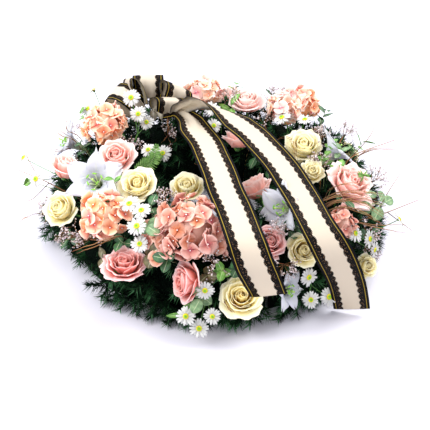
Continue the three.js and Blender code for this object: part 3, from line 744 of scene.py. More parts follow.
# A darker copy of the pink cloth for roses low at the front: partly a deeper dye, partly painted shade.
deep_dye_and_shade_cloth = petal_cloth(
    "coral rose cloth",
    [(0.05, "#8E1E12"), (0.3, "#CC4E38"), (0.52, "#EC8E7A"), (0.74, "#F6C2B9"), (1.0, "#FBE4E2")],
    "#FCECEC",
)
DEEP_DYE_AND_SHADE_ROSES = (3, 4, 7)
cream_cloth = petal_cloth(
    "cream rose cloth",
    [(0.05, "#F4B72C"), (0.24, "#FFDF70"), (0.44, "#FFF2B2"), (0.75, "#FFFADA"), (1.0, "#FFFDEC")],
    "#FFFAE0",
)
green_plastic = green_material()
for number, (spot, look) in enumerate(PINK_ROSES, 1):
    rose_looks = [deep_dye_and_shade_cloth if number in DEEP_DYE_AND_SHADE_ROSES else pink_cloth, green_plastic]
    rose(f"rose_pink_{number}", spot, rose_looks, 199 + number, look)
for number, (spot, look) in enumerate(CREAM_ROSES, 1):
    rose(f"rose_cream_{number}", spot, [cream_cloth, green_plastic], 299 + number, look)

# ---- Hydrangeas ---------------------------------------------------------------------------------
# Domed silk heads of thin florets: four broad petals round a small white pearl, peach with pinker
# middles on some and pale rims, set close over a stalk ball on one stem.


def planting_tree():
    """Sets a part on every point, its Z along the point's facing, spun and marked at random."""
    tree, given = geometry_tree(
        "planted parts", Part="Object", Seed="Int", Smallest="Float", Material="Material"
    )
    seed = given["Seed"]
    facing = add_node(tree, "GeometryNodeInputNamedAttribute", ("facing",), data_type="FLOAT_VECTOR")
    size = add_node(tree, "GeometryNodeInputNamedAttribute", ("size",), data_type="FLOAT")
    part = add_node(tree, "GeometryNodeObjectInfo", {"Object": given["Part"]}, out="Geometry")
    upright = add_node(tree, "FunctionNodeAlignRotationToVector", {"Vector": facing}, axis="Z")
    about = add_node(tree, "FunctionNodeRandomValue", (0.0, 2 * math.pi, 0, seed))
    share = add_node(tree, "FunctionNodeRandomValue", (given["Smallest"], 1.0, 3, seed))
    scale = add_node(tree, "ShaderNodeMath", (size, share), operation="MULTIPLY")
    spun = turned_by(tree, upright, "Z", about)
    plain = set_on_points(tree, seed, given["Geometry"], part, spun, scale, "hue")
    return finish_tree(tree, given, plain)


def part_object(name, shape):
    """A hidden object of a shape, modelled about the origin, for planting; it is removed at the end."""
    part = bpy.data.objects.new(name, shape.mesh(name, [], centre=ORIGIN))
    planting_parts.append(part)
    return part


def planted(spots, part, material, seed, smallest=0.85):
    """A mesh of one part set at every spot, a spot being (point, facing, size)."""
    mesh = bpy.data.meshes.new(part.name)
    mesh.from_pydata((np.array([s[0] for s in spots]) * MM + RING_CENTRE).tolist(), [], [])
    facing = mesh.attributes.new("facing", "FLOAT_VECTOR", "POINT")
    facing.data.foreach_set("vector", np.array([s[1] for s in spots], float).ravel())
    size = mesh.attributes.new("size", "FLOAT", "POINT")
    size.data.foreach_set("value", [float(s[2]) for s in spots])
    values = {"Part": part, "Seed": seed, "Smallest": smallest, "Material": material}
    return grown(mesh, planter, values)


def blade_grid(length, width, outline, arch=0, rows=6, columns=5, **form):
    """A leaf or petal along +X with its upper side to +Z, bent up by arch degrees over its length.

    cup raises its edges and fold its sides in a V, both in millimetres. Returns points and marks."""
    across, along = np.meshgrid(np.linspace(-1, 1, columns), np.linspace(0, 1, rows))
    reach = along * (1 - form.get("rounded", 0) * np.abs(across) ** 2.4)
    bend = math.radians(arch) if arch else 1e-4
    width_here = 0.5 * width * np.interp(reach, np.linspace(0, 1, len(outline)), outline)
    waves = form.get("waves", 5) * along + form.get("phase", 0) + 1.5 * across
    wave = form.get("ripple", 0) * np.sin(waves) * np.abs(across)
    x = form.get("foot", 0) + length * np.sin(bend * reach) / bend
    z = length * (1 - np.cos(bend * reach)) / bend + form.get("cup", 0) * across**2 * along
    z += form.get("fold", 0) * np.abs(across) + wave
    marks = np.stack([across, along, np.full_like(across, form.get("depth", 0))], -1)
    return np.stack([x, across * width_here, z], -1), marks


def turned_about_z(points, degrees):
    """Points turned about Z."""
    return stand(points, ORIGIN, (0, 0, 1), math.radians(degrees))


def ball(shape, middle, radius, sides=6, depth=0.0, flat=1.0):
    """Adds a small closed ball, flattened along Z by a share."""
    angles = np.array([-1.45, -0.9, -0.3, 0.3, 0.9, 1.45])
    places = on_axis(flat * radius * np.sin(angles)) + np.asarray(middle)
    tube(shape, places, radius * np.cos(angles), sides, depth)


def floret_shape(variant):
    """One floret, 40 mm wide: four broad petals that overlap in turn, limp, cupped and ruffled."""
    rng = np.random.default_rng(40 + variant)
    shape = Shape()
    for k in range(4):
        grid, marks = blade_grid(
            18.5 * rng.uniform(0.85, 1.08),
            23.0 * rng.uniform(0.9, 1.1),
            (0.22, 0.62, 0.92, 1.02, 0.96, 0.74),
            arch=rng.uniform(-30, 65),
            rows=7,
            columns=7,
            rounded=0.2,
            cup=rng.uniform(-2.5, 4.5),
            ripple=2.0,
            waves=rng.uniform(4, 8),
            phase=rng.uniform(0, 6),
            foot=0.6,
        )
        grid[..., 2] += 0.14 * grid[..., 1]
        skin(shape, turned_about_z(grid, 90 * k + rng.uniform(-10, 10)), marks, thickness=0.35)
    return shape


GOLDEN_TURN = 2.39996
FULL_SIZE_HEAD = 105


def hydrangea_head(name, spot, seed, looks, trailing=()):
    """Florets over a dome round the middle of the head, with pearls, on a hidden stalk ball.

    Trailing florets hang beside the head on stalks of their own."""
    cloth, pearl, green = looks
    rng = np.random.default_rng(seed)
    middle, size, facing = aim_of(spot)
    radius = size / 2 - 8
    count = int(0.0095 * radius**2) + 8
    florets = []
    for k in range(count):
        rise = 1 - (k + 0.5) / count * 1.3
        turn = GOLDEN_TURN * k + rng.uniform(-0.25, 0.25)
        rise = float(np.clip(rise + rng.uniform(-0.04, 0.04), -0.45, 0.99))
        flat = math.sqrt(1 - rise * rise)
        local = np.array([flat * math.cos(turn), flat * math.sin(turn), rise])
        outwards = stand(local, ORIGIN, facing)
        bulge = radius * rng.uniform(0.74, 1.06)
        dome = stand(local * np.array([1, 1, 0.8 if rise > 0 else 0.62]) * bulge, middle, facing)
        tilted = unit(outwards + rng.normal(0, 0.4, 3))
        florets.append((dome, tilted, min(1.0, size / FULL_SIZE_HEAD)))
    shape = Shape()
    for around, lean, reach, bearing, above in trailing:
        point, aim = at(around, lean, reach), towards(bearing, above)
        florets.append((point, aim, 1.0))
        tube(shape, curve_through([middle, (middle + point) / 2 - aim * 8, point], 6), 0.8, 5, slot=1)
    pearls = [(point + aim * 1.2, aim, share) for point, aim, share in florets]
    heights = np.array([-0.42, -0.36, -0.2, 0.0, 0.2, 0.3]) * size
    radii = np.array([0.05, 0.16, 0.24, 0.26, 0.18, 0.06]) * size
    tube(shape, stand(on_axis(heights), middle, facing), radii, 14, depth=0.2)
    stem(shape, spot, middle - facing * size * 0.28, slot=1)
    meshes = []
    for variant, part in enumerate(floret_parts):
        meshes.append(planted(florets[variant::3], part, cloth, seed + variant, smallest=0.86))
    meshes += [planted(pearls, pearl_part, pearl, seed), shape.mesh(name, [cloth, green])]
    make_piece(name + "_florets", meshes, name)


def floret_cloth(name, stops, pink_stops):
    """Thin polyester: pink in the middle of some florets, pale at the rims, with a fine weave."""
    material, tree, surface = new_material(
        name, roughness=0.75, specular_ior_level=0.25, sheen_weight=0.1
    )
    along = marks_of(tree)[1]
    hue = add_node(tree, "ShaderNodeAttribute", out="Fac", attribute_name="hue")
    peach = add_node(tree, "ShaderNodeValToRGB", (along,), stops)
    pink = add_node(tree, "ShaderNodeValToRGB", (along,), pink_stops)
    some = add_node(tree, "ShaderNodeMath", (hue, 1.4), operation="POWER")
    colour = mixed_colour(tree, some, peach, pink, surface)
    roughen(tree, surface, grain(tree, 0.9, 3.0), 0.4, 0.0005)
    let_light_through(tree, surface, colour, 0.35)
    return material


def pearl_material():
    """White glass-like beads in the florets: glossy, with a hint of green at the foot."""
    material, tree, surface = new_material("white pearl", roughness=0.22, coat_weight=0.4)
    coloured(tree, surface, marks_of(tree)[1], [(0.1, "#CFE0A8"), (0.5, "#FDFBF4")])
    return material


# A head's spot, as a rose's.
HYDRANGEAS = [
    (165, 4, 149, 112),
    (229, 33, 150, 100, 262, 55),
    (262, 25, 145, 140, 268, 52),
    (98, -5, 150, 100),
    (43, -7, 150, 100),
    (314, 44, 145, 74),
    (52, 50, 145, 95),
]
# Florets that slipped out of the third head: around, lean, reach, bearing, height they face.
TRAILING_FLORETS = [
    (251, 34, 152, 250, 50), (247, 30, 148, 240, 60), (253, 38, 150, 262, 40), (252, 50, 142, 262, 30),
    (255, 31, 152, 262, 60), (247, 38, 140, 235, 45), (255, 43, 146, 262, 40),
]
planting_parts = []
planter = planting_tree()
floret_parts = [part_object(f"floret {variant}", floret_shape(variant)) for variant in range(3)]
pearl_shape = Shape()
ball(pearl_shape, (0, 0, 0.6), 1.5)
pearl_part = part_object("pearl", pearl_shape)
FLORET_PLACES = (0.0, 0.3, 0.65, 1.0)
PINK_PLACES = (0.0, 0.26, 0.6, 1.0)
# Peach and pale are dyes; the third is a darker copy of the peach, painted shade for heads under the
# ribbon.
FLORET_DYES_AND_SHADE = [
    ("peach", "#EC7434 #FAAE74 #FDCFA4 #FFE8CE", "#E4608A #F59C9A #FBC9B6 #FFE9DE"),
    ("dusky", "#C25A34 #DE9068 #E6AC90 #F0CAB8", "#C4506E #DC8C86 #E6B0A2 #F2D0C6"),
    ("pale", "#EE9A6A #FBC89E #FDDFC6 #FFF2E4", "#EE80A0 #F9B8B8 #FCDAD0 #FFF0EA"),
]
floret_cloths = [
    floret_cloth(
        f"{colouring} hydrangea cloth",
        list(zip(FLORET_PLACES, own.split())),
        list(zip(PINK_PLACES, pink.split())),
    )
    for colouring, own, pink in FLORET_DYES_AND_SHADE
]
PEACH, SHADE_PAINTED, PALE = range(3)
# The third and sixth heads, in shade under the ribbon, take the darker copy of painted shade.
HEAD_CLOTHS = [PEACH, PEACH, SHADE_PAINTED, PALE, PALE, SHADE_PAINTED, PEACH]
TRAILING_HEAD = 2
white_pearl = pearl_material()
for number, spot in enumerate(HYDRANGEAS):
    trailing = TRAILING_FLORETS if number == TRAILING_HEAD else ()
    hydrangea_looks = (floret_cloths[HEAD_CLOTHS[number]], white_pearl, green_plastic)
    hydrangea_head(f"hydrangea_{number + 1}", spot, 400 + 10 * number, hydrangea_looks, trailing)

# ---- Lilies -------------------------------------------------------------------------------------
# White silk lilies: three broad and three narrow petals joined in a trumpet, tips curled back, a green
# throat, six green stamens and a pistil.

LILY_OUTLINE = (0.3, 0.6, 0.86, 1.0, 0.98, 0.78, 0.14)


def lily(name, spot, seed, looks):
    """A lily: its petals in two rings, its stamens and pistil, and its stem."""
    rng = np.random.default_rng(seed)
    middle, size, facing = aim_of(spot)
    shape = Shape()
    spin = rng.uniform(0, 6.28)
    for k in range(6):
        broad = k % 2
        grid, marks = petal_grid(
            (6, 30 + rng.normal(0, 3), 112 + rng.normal(0, 12)),
            0.86 * rng.uniform(0.95, 1.04),
            0.25 if broad else 0.19,
            LILY_OUTLINE,
            (0.035 if broad else 0.042, -0.56),
            1.0,
            rows=15,
            columns=9,
            rounded=0.0,
            least_hollow=0.05,
            ripple=0.045,
            waves=rng.uniform(1, 3),
            phase=rng.uniform(0, 6.28),
            depth=float(broad),
        )
        grid[..., 2] += 0.012 * np.cos(marks[..., 0] * math.pi) * marks[..., 1]
        placed = stand(grid * size, middle, facing, spin + k * math.pi / 3)
        skin(shape, placed, marks, thickness=0.6)
    for k in range(6):
        lean = 0.1 + 0.05 * rng.uniform(-1, 1)
        turn = k * math.pi / 3 + 0.4
        spread = np.array([math.cos(turn), math.sin(turn), 0])
        local = [
            np.array([0, 0, -0.45]),
            spread * 0.03 + [0, 0, -0.2],
            spread * lean + [0, 0, 0.02 + 0.03 * rng.uniform(-1, 1)],
        ]
        stalk = stand(curve_through(np.array(local) * size, 7), middle, facing)
        tube(shape, stalk, [1.1, 1, 1, 0.9, 0.9, 0.8, 0.8], 5, depth=0.3, slot=1)
        swing = np.cross(facing, stalk[-1] - middle)
        anther = [stalk[-1] - unit(swing) * 5, stalk[-1] + facing * 0.8, stalk[-1] + unit(swing) * 5]
        tube(shape, curve_through(anther, 5), [0.5, 1.4, 1.7, 1.4, 0.5], 6, depth=1.0, slot=1)
    pistil = stand(on_axis(np.array([-0.45, 0, 0.1, 0.13]) * size), middle, facing)
    tube(shape, pistil, [1.4, 1.2, 1.4, 2.4], 6, depth=0.6, slot=1)
    cup = stand(on_axis(np.array([-0.6, -0.52]) * size), middle, facing)
    tube(shape, cup, [0.03 * size, 0.05 * size], 8, slot=2)
    stem(shape, spot, middle - facing * size * 0.54, slot=2)
    make_piece(name + "_flower", [shape.mesh(name, looks)], name)


def lily_cloth():
    """White polyester with pressed ribs along each petal, pale green in the throat and along the rib."""
    material, tree, surface = new_material("white lily cloth", roughness=0.6, sheen_weight=0.2)
    across, along, _ = marks_of(tree)
    stops = [(0.1, "#C2D890"), (0.34, "#DEE7D0"), (0.5, "#DDDFE6"), (1.0, "#E9EAEF")]
    lengthwise = add_node(tree, "ShaderNodeValToRGB", (along,), stops)
    aside = add_node(tree, "ShaderNodeMath", (across,), operation="ABSOLUTE")
    ends = {"Value": aside, "From Max": 0.14, "To Min": 0.35, "To Max": 0.0}
    on_rib = add_node(tree, "ShaderNodeMapRange", ends)
    colour = mixed_colour(tree, on_rib, lengthwise, "#E2EAD6", surface)
    ribs = add_node(tree, "ShaderNodeMath", (across, 22.0), operation="MULTIPLY")
    roughen(tree, surface, add_node(tree, "ShaderNodeMath", (ribs,), operation="SINE"), 0.18, 0.0006)
    let_light_through(tree, surface, colour, 0.55)
    return material


def stamen_material():
    """Moulded stamens: pale green filaments with bright yellow-green, grainy ends."""
    material, tree, surface = new_material("green stamens", roughness=0.6)
    stops = [(0.3, "#D9E8B0"), (0.65, "#A2CC58"), (1.0, "#74AE30")]
    coloured(tree, surface, marks_of(tree)[2], stops)
    roughen(tree, surface, grain(tree, 2.0), 0.6, 0.0004)
    return material


LILIES = [
    (215, 18, 160, 125, 262, 45),
    (165, 50, 150, 105, 190, 30),
    (296, 13, 146, 105, 215, 25),
    (352, 6, 150, 105, 20, 40),
    (112, 48, 145, 105),
    (138, 50, 145, 105),
]
lily_looks = (lily_cloth(), stamen_material(), green_plastic)
for number, spot in enumerate(LILIES):
    lily(f"lily_{number + 1}", spot, 500 + number, lily_looks)
# A small one lies low under the end of the left tail.
lily("lily_extra", (292, 81, 128, 80, 322, 18), 510, lily_looks)

# ---- Daisies ------------------------------------------------------------------------------------
# Sprays of small silk daisies on thin green stalks: eighteen narrow white petals with two grooves each
# round a domed yellow eye that is green in the middle.

DAISY_PETALS = 18
DAISY_SIZE = 40


def daisy_petals():
    """The petals of a daisy 40 mm wide."""
    rng = np.random.default_rng(60)
    shape = Shape()
    for k in range(DAISY_PETALS):
        grid, marks = blade_grid(
            16.4 * rng.uniform(0.9, 1.05),
            5.0,
            (0.5, 0.85, 1.0, 0.95, 0.55),
            arch=rng.uniform(-30, 8),
            rows=5,
            columns=3,
            cup=0.6,
            foot=3.2,
        )
        grid[..., 2] += 1.0 + (k % 2) * 0.6
        turn = 360 / DAISY_PETALS * k + rng.uniform(-4, 4)
        skin(shape, turned_about_z(grid, turn), marks, thickness=0.35)
    return shape


def daisy_eye():
    """The domed eye, and the small green cup behind the petals."""
    shape = Shape()
    ball(shape, (0, 0, 1.8), 6.0, 12, depth=1.0, flat=0.5)
    places = [(0, 0, -5), (0, 0, -3.5), (0, 0, -0.5), (0, 0, 1)]
    tube(shape, places, [1.2, 2.6, 4.4, 3.2], 8, depth=0.0)
    return shape


def daisy_spray(name, root, heads, looks, seed):
    """Daisy heads on stalks from one fork, which stands on a stem in the straw."""
    petal, eye, green = looks
    fork = at(*root)
    shape = Shape()
    stem(shape, root, fork)
    spots = []
    for spot in heads:
        middle, size, facing = aim_of(spot)
        spots.append((middle, facing, size / DAISY_SIZE))
        knee = (fork + middle) / 2 - facing * 9
        tube(shape, curve_through([fork, knee, middle - facing * 5, middle - facing * 2], 10), 0.9, 5)
    meshes = [
        planted(spots, daisy_petal_part, petal, seed, smallest=0.97),
        planted(spots, daisy_eye_part, eye, seed, smallest=0.97),
        shape.mesh(name, [green]),
    ]
    make_piece(name + "_heads", meshes, name)


def daisy_cloth():
    """White polyester petals with two pressed grooves and a faint warm shade at the foot."""
    material, tree, surface = new_material("white daisy cloth", roughness=0.6, sheen_weight=0.2)
    across, along, _ = marks_of(tree)
    stops = [(0.0, "#D2D6A8"), (0.22, "#E2E2DC"), (1.0, "#EEEEEC")]
    colour = coloured(tree, surface, along, stops)
    grooves = add_node(tree, "ShaderNodeMath", (across, 7.0), operation="MULTIPLY")
    groove = add_node(tree, "ShaderNodeMath", (grooves,), operation="COSINE")
    roughen(tree, surface, groove, 0.4, 0.0005)
    let_light_through(tree, surface, colour, 0.45)
    return material


def eye_material():
    """Flocked yellow eyes with a green middle; the cup behind is green plastic."""
    material, tree, surface = new_material("daisy eye flock", roughness=0.9)
    _, along, depth = marks_of(tree)
    stops = [(0.5, "#E8C81A"), (0.72, "#D6CC22"), (0.86, "#86AE22"), (1.0, "#5E9A1E")]
    flock = add_node(tree, "ShaderNodeValToRGB", (along,), stops)
    mixed_colour(tree, depth, "#5B8A34", flock, surface)
    inputs = {"Vector": in_millimetres(tree), "Scale": 1.8}
    roughen(tree, surface, add_node(tree, "ShaderNodeTexVoronoi", inputs), 0.9, 0.0006)
    return material


# A spray: the place of its fork, then the spots of its heads.
DAISY_SPRAYS = [
    [(147, 34, 112), [(144, 34, 200, 40), (150, 37, 170, 38, 230, 50)]],
    [(159, -23, 138),
        [(150, -7, 197, 42, 262, 45), (155, -17, 178, 40, 258, 45), (152, -24, 163, 36, 265, 40)]],
    [(86, -36, 112), [(93, -29, 160, 40), (92, -43, 150, 38), (76, -41, 166, 40)]],
    [(30, -15, 112), [(33, -23, 166, 42), (24, -9, 154, 38)]],
    [
        (243, 31, 114),
        [(237, 20, 164, 40), (243, 22, 166, 38), (244, 33, 164, 40), (246, 43, 150, 36)],
    ],
    [(184, 52, 116), [(190.5, 56, 172, 40, 240, 40), (179, 60, 204, 38, 200, 50)]],
    [
        (267, 84, 116),
        [(267, 68, 152, 36), (262, 88, 156, 38, 265, 30), (265.5, 97, 160, 38, 270, 30),
         (269, 87, 156, 34, 275, 30)],
    ],
    [(301, 88, 114), [(298, 72, 134, 38), (305, 98, 140, 40, 290, 35), (298, 92, 140, 36, 285, 35)]],
    [
        (322, 66, 114),
        [(317, 55, 150, 38), (322, 66, 152, 38), (325, 80, 146, 36), (333, 66, 184, 34, 0, 40)],
    ],
]
daisy_petal_part = part_object("daisy petals", daisy_petals())
daisy_eye_part = part_object("daisy eye", daisy_eye())
daisy_looks = (daisy_cloth(), eye_material(), green_plastic)
for number, (root, heads) in enumerate(DAISY_SPRAYS):
    daisy_spray(f"daisy_spray_{number + 1}", root, heads, daisy_looks, 600 + number)

# ---- The funeral ribbon ---------------------------------------------------------------------------
# A satin ribbon 70 mm wide, printed on one side: cream, with a border of black lace, a gold line and a
# navy edge. Its bow has five loops held by a wrap, and its two tails cross the ring to the front.

RIBBON_WIDTH = 70
RIBBON_COLUMNS = 29
PLEATS = 2.5
KNOT = np.array([-145.0, 135.0, 215.0])
# A tail is this share of its width at the knot, and opens by so much at each half place.
GATHERED, OPENING = 0.3, 0.12
WRAP_PLACE, WRAP_WIDTH, WRAP_LEAN = (18, -8, -10), 44.0, math.radians(-35)


def ribbon_sheet(shape, centres, acrosses, widths, start=0.0, slots=(0, 1)):
    """Adds a ribbon through centres; across runs from its left edge. Where its width is less than the
    cloth's, it is gathered in pleats. Returns the length of the ribbon."""
    centres, widths = np.asarray(centres), np.asarray(widths, float)
    along, across = unit(np.gradient(centres, axis=0)), unit(acrosses)
    lift = unit(np.cross(along, across))
    steps = np.linalg.norm(np.diff(centres, axis=0), axis=1)
    length = start + np.concatenate([[0], np.cumsum(steps)])
    share = np.linspace(-1, 1, RIBBON_COLUMNS)
    slack = np.sqrt(2 * np.maximum((RIBBON_WIDTH / widths) ** 2 - 1, 0))
    depth = widths / (2 * math.pi * PLEATS) * slack * 0.9
    raised = depth[:, None] * np.sin(math.pi * PLEATS * share)[None, :]
    raised = raised - 1.2 * share[None, :] ** 2
    side = share[None, :] * widths[:, None] / 2
    grid = centres[:, None] + across[:, None] * side[..., None] + lift[:, None] * raised[..., None]
    x = np.broadcast_to(share * RIBBON_WIDTH / 2, side.shape)
    y = np.broadcast_to(length[:, None], side.shape)
    marks = np.stack([x, y, np.zeros_like(x)], -1)
    skin(shape, grid, marks, thickness=0.35, slots=slots)
    return length[-1]


def ribbon_tail(name, line, rolls, looks, fall, end_across):
    """A tail along its line, gathered at the knot; rolls raise its front edge at the first places.
    From the place where it starts to fall, its width swings to the way that its cut end lies."""
    steps = 2 * (len(line) - 1)
    fine = 8 * steps + 1
    centres = curve_through(line, fine)
    tangents = unit(np.gradient(centres, axis=0))
    places = np.linspace(0, steps, fine)
    raised = [(rolls[k] if k < len(rolls) else 0) for k in range(len(line))]
    roll = np.radians(np.interp(places / 2, np.arange(len(line)), raised))
    level = unit(np.cross(tangents, [0, 0, 1.0]))
    falling = 16 * fall
    swing = np.linspace(0, 1, fine - falling)[:, None]
    level[falling:] = level[falling] * (1 - swing) - np.array(end_across) * swing
    level = unit(level - tangents * np.sum(level * tangents, axis=1, keepdims=True))
    upright = np.cross(level, tangents)
    across = -level * np.cos(roll)[:, None] - upright * np.sin(roll)[:, None]
    widths = RIBBON_WIDTH * np.minimum(GATHERED + places * OPENING, 1.0)
    shape = Shape()
    length = ribbon_sheet(shape, centres, across, widths)
    piece = make_piece(name + "_satin", [shape.mesh(name, looks)], name)


def ribbon_bow(name, looks):
    """Five loops out of one length of ribbon, and the band that gathers them."""
    shape = Shape()
    total = 0.0
    for base, length, run, width, belly in BOW_LOOPS:
        run, width = unit(np.array(run)), unit(np.array(width))
        out = unit(np.cross(width, run))
        share = np.linspace(0.06, 0.94, 57)[:, None]
        centres = KNOT + np.array(base) + run * length * np.sin(math.pi * share)
        centres = centres - out * 0.5 * belly * np.sin(2 * math.pi * share)
        pinch = 1 - 0.32 * np.abs(2 * share[:, 0] - 1) ** 5
        across = np.broadcast_to(width, centres.shape)
        total = ribbon_sheet(shape, centres, across, RIBBON_WIDTH * pinch, total)
    turn = np.linspace(0.15, 2 * math.pi - 0.15, 40)
    cosine, sine = math.cos(WRAP_LEAN), math.sin(WRAP_LEAN)
    round_it = np.stack([np.zeros(40), 13 * np.cos(turn), 10 * np.sin(turn)], -1)
    tilt = np.array([[1, 0, 0], [0, cosine, -sine], [0, sine, cosine]])
    band = KNOT + np.array(WRAP_PLACE) + round_it @ tilt.T
    sideways = np.broadcast_to([-1.0, 0, 0], band.shape)
    total = ribbon_sheet(shape, band, sideways, np.full(40, WRAP_WIDTH), total)
    piece = make_piece(name + "_satin", [shape.mesh(name, looks)], name)


def printed_satin():
    """The printed side: marks hold the place across and along the ribbon in millimetres.

    From the edge inwards: navy, a gold line, navy, then lace with scallops and a jagged edge on cream."""
    material, tree, surface = new_material("printed satin", roughness=0.55, specular_ior_level=0.12)
    across, along, _ = marks_of(tree)
    aside = add_node(tree, "ShaderNodeMath", (across,), operation="ABSOLUTE")
    inwards = add_node(tree, "ShaderNodeMath", (RIBBON_WIDTH / 2, aside), operation="SUBTRACT")
    scallops = add_node(tree, "ShaderNodeMath", (along, math.pi / 17), operation="MULTIPLY")
    swell = add_node(tree, "ShaderNodeMath", (scallops,), operation="SINE")
    lobe = add_node(tree, "ShaderNodeMath", (swell,), operation="ABSOLUTE")
    jag = add_node(tree, "ShaderNodeMath", (along, 1.4), operation="PINGPONG")
    jagged = add_node(tree, "ShaderNodeMath", (jag, 1.3, 15.2), operation="MULTIPLY_ADD")
    reach = add_node(tree, "ShaderNodeMath", (lobe, 3.2, jagged), operation="MULTIPLY_ADD")
    in_lace = add_node(tree, "ShaderNodeMath", (inwards, reach), operation="LESS_THAN")
    in_band = add_node(tree, "ShaderNodeMath", (inwards, 9.6), operation="LESS_THAN")
    in_gold = add_node(tree, "ShaderNodeMath", (inwards, 5.4, 0.6), operation="COMPARE")
    place = add_node(tree, "ShaderNodeCombineXYZ", (inwards, along))
    inputs = {"Vector": place, "Scale": 0.34, "Randomness": 0.7}
    net = add_node(tree, "ShaderNodeTexVoronoi", inputs)
    stops = [(0.0, "#957A60"), (0.26, "#5E4733"), (0.42, "#1E150F"), (0.6, "#0A0806")]
    lace = add_node(tree, "ShaderNodeValToRGB", (net,), stops)
    with_lace = mixed_colour(tree, in_lace, "#D8CDBB", lace)
    with_band = mixed_colour(tree, in_band, with_lace, "#0A0A10")
    colour = mixed_colour(tree, in_gold, with_band, "#AE9434", surface)
    threads = add_node(tree, "ShaderNodeTexNoise", {"Vector": place, "Scale": 2.2, "Detail": 2.0})
    woven = add_node(tree, "ShaderNodeMath", (threads, 0.5), operation="MULTIPLY")
    raised = add_node(tree, "ShaderNodeMath", (in_lace, 0.7, woven), operation="MULTIPLY_ADD")
    roughen(tree, surface, raised, 0.4, 0.0003)
    let_light_through(tree, surface, colour, 0.4)
    return material


def satin_back():
    """The plain side of the ribbon: pale warm satin with the print showing through at its edges."""
    material, tree, surface = new_material("satin back", roughness=0.42, sheen_weight=0.2)
    aside = add_node(tree, "ShaderNodeMath", (marks_of(tree)[0],), operation="ABSOLUTE")
    share = add_node(tree, "ShaderNodeMath", (aside, RIBBON_WIDTH / 2), operation="DIVIDE")
    stops = [
        (0.0, "#E4DDCB"), (0.56, "#DAD1BD"), (0.7, "#A69C88"), (0.81, "#8C836F"),
        (0.845, "#B59A4A"), (0.88, "#7C735F"), (1.0, "#3A3733"),
    ]
    colour = coloured(tree, surface, share, stops)
    roughen(tree, surface, grain(tree, 2.0), 0.25, 0.0003)
    let_light_through(tree, surface, colour, 0.4)
    return material


LEFT_TAIL = [
    (-127, 126, 203), (-87, 113, 218), (-57, 50, 236), (-42, -15, 245), (-20, -79, 250),
    (-8, -130, 250), (5, -183, 248), (18, -243, 242), (31, -290, 238), (43, -338, 231),
    (54, -370, 214), (67, -388, 181), (82, -392, 145), (94, -390, 112),
]
RIGHT_TAIL = [
    (-101, 121, 210), (-86, 110, 224), (-70, 94, 240), (-39, 74, 260), (-13, 51, 268),
    (13, 22, 270), (45, -27, 268), (73, -68, 265), (93, -108, 262), (111, -143, 258),
    (128, -178, 252), (144, -219, 244), (160, -258, 234), (172, -285, 222), (185, -311, 207),
    (199, -328, 188), (215, -336, 160), (232, -332, 122), (247, -324, 80), (258, -317, 38),
    (264, -312, 10),
]
# The loops of the bow: foot from the knot, length, the way it runs, the way its width runs, belly.
BOW_LOOPS = [
    ((-6, -9, -10), 98, (-0.87, 0.2, 0.45), (0.3, 0.85, 0.1), 40),
    ((-17, 4, -9), 84, (-0.42, 0.52, 0.74), (0.4, -0.82, 0.4), 24),
    ((-7, 30, -3), 66, (-0.05, 0.45, 0.9), (1, 0.05, 0), 40),
    ((46, 10, -2), 52, (0.2, 0.39, 0.9), (0.79, 0.3, -0.53), 44),
    ((36, -23, -9), 44, (-0.02, 0.49, 0.87), (0.9, 0.38, -0.21), 56),
]
RIGHT_ROLLS = [15, 38, 46, 46, 40, 25]
ribbon_looks = [printed_satin(), satin_back()]
ribbon_bow("ribbon_bow", ribbon_looks)
ribbon_tail(
    "ribbon_tail_left", LEFT_TAIL, [], ribbon_looks, 8, (0.96, -0.15, -0.2)
)
ribbon_tail(
    "ribbon_tail_right", RIGHT_TAIL, RIGHT_ROLLS, ribbon_looks, 12, (0.97, -0.1, -0.2)
)

# ---- Dried grass, eucalyptus, limonium and loose leaves ---------------------------------------------
# Dyed dried grass in thin arching stalks, plastic eucalyptus and leaf sprigs, and dried limonium with
# pale blossoms on hair-thin brown twigs, all pushed into the straw between the flowers.


def grass_material():
    """Dried grass: brown stalks that turn reddish towards their tips, faintly ribbed."""
    material, tree, surface = new_material("dried grass", roughness=0.75)
    stops = [(0.0, "#3E2A14"), (0.45, "#694622"), (0.8, "#8F6132"), (1.0, "#7E4024")]
    coloured(tree, surface, marks_of(tree)[1], stops)
    roughen(tree, surface, grain(tree, 1.2, 3.0), 0.7, 0.0004)
    return material


def strand(shape, places, radius, tip, steps=16):
    """Adds a tapering stalk through places of the ring."""
    line = curve_through([at(*place) for place in places], steps)
    tube(shape, line, np.linspace(radius, tip, steps), 5)
    return line


def grass_piece(name, line, sides, looks):
    """One tuft: its main stalk, and side blades that leave it at a share of its length."""
    shape = Shape()
    main = strand(shape, line, 1.7, 0.6)
    for share, *places in sides:
        foot = main[int(share * (len(main) - 1))]
        blade_line = curve_through([foot] + [at(*place) for place in places], 10)
        tube(shape, blade_line, np.linspace(1.0, 0.4, 10), 5)
    make_piece(name + "_stalks", [shape.mesh(name, looks)], name)


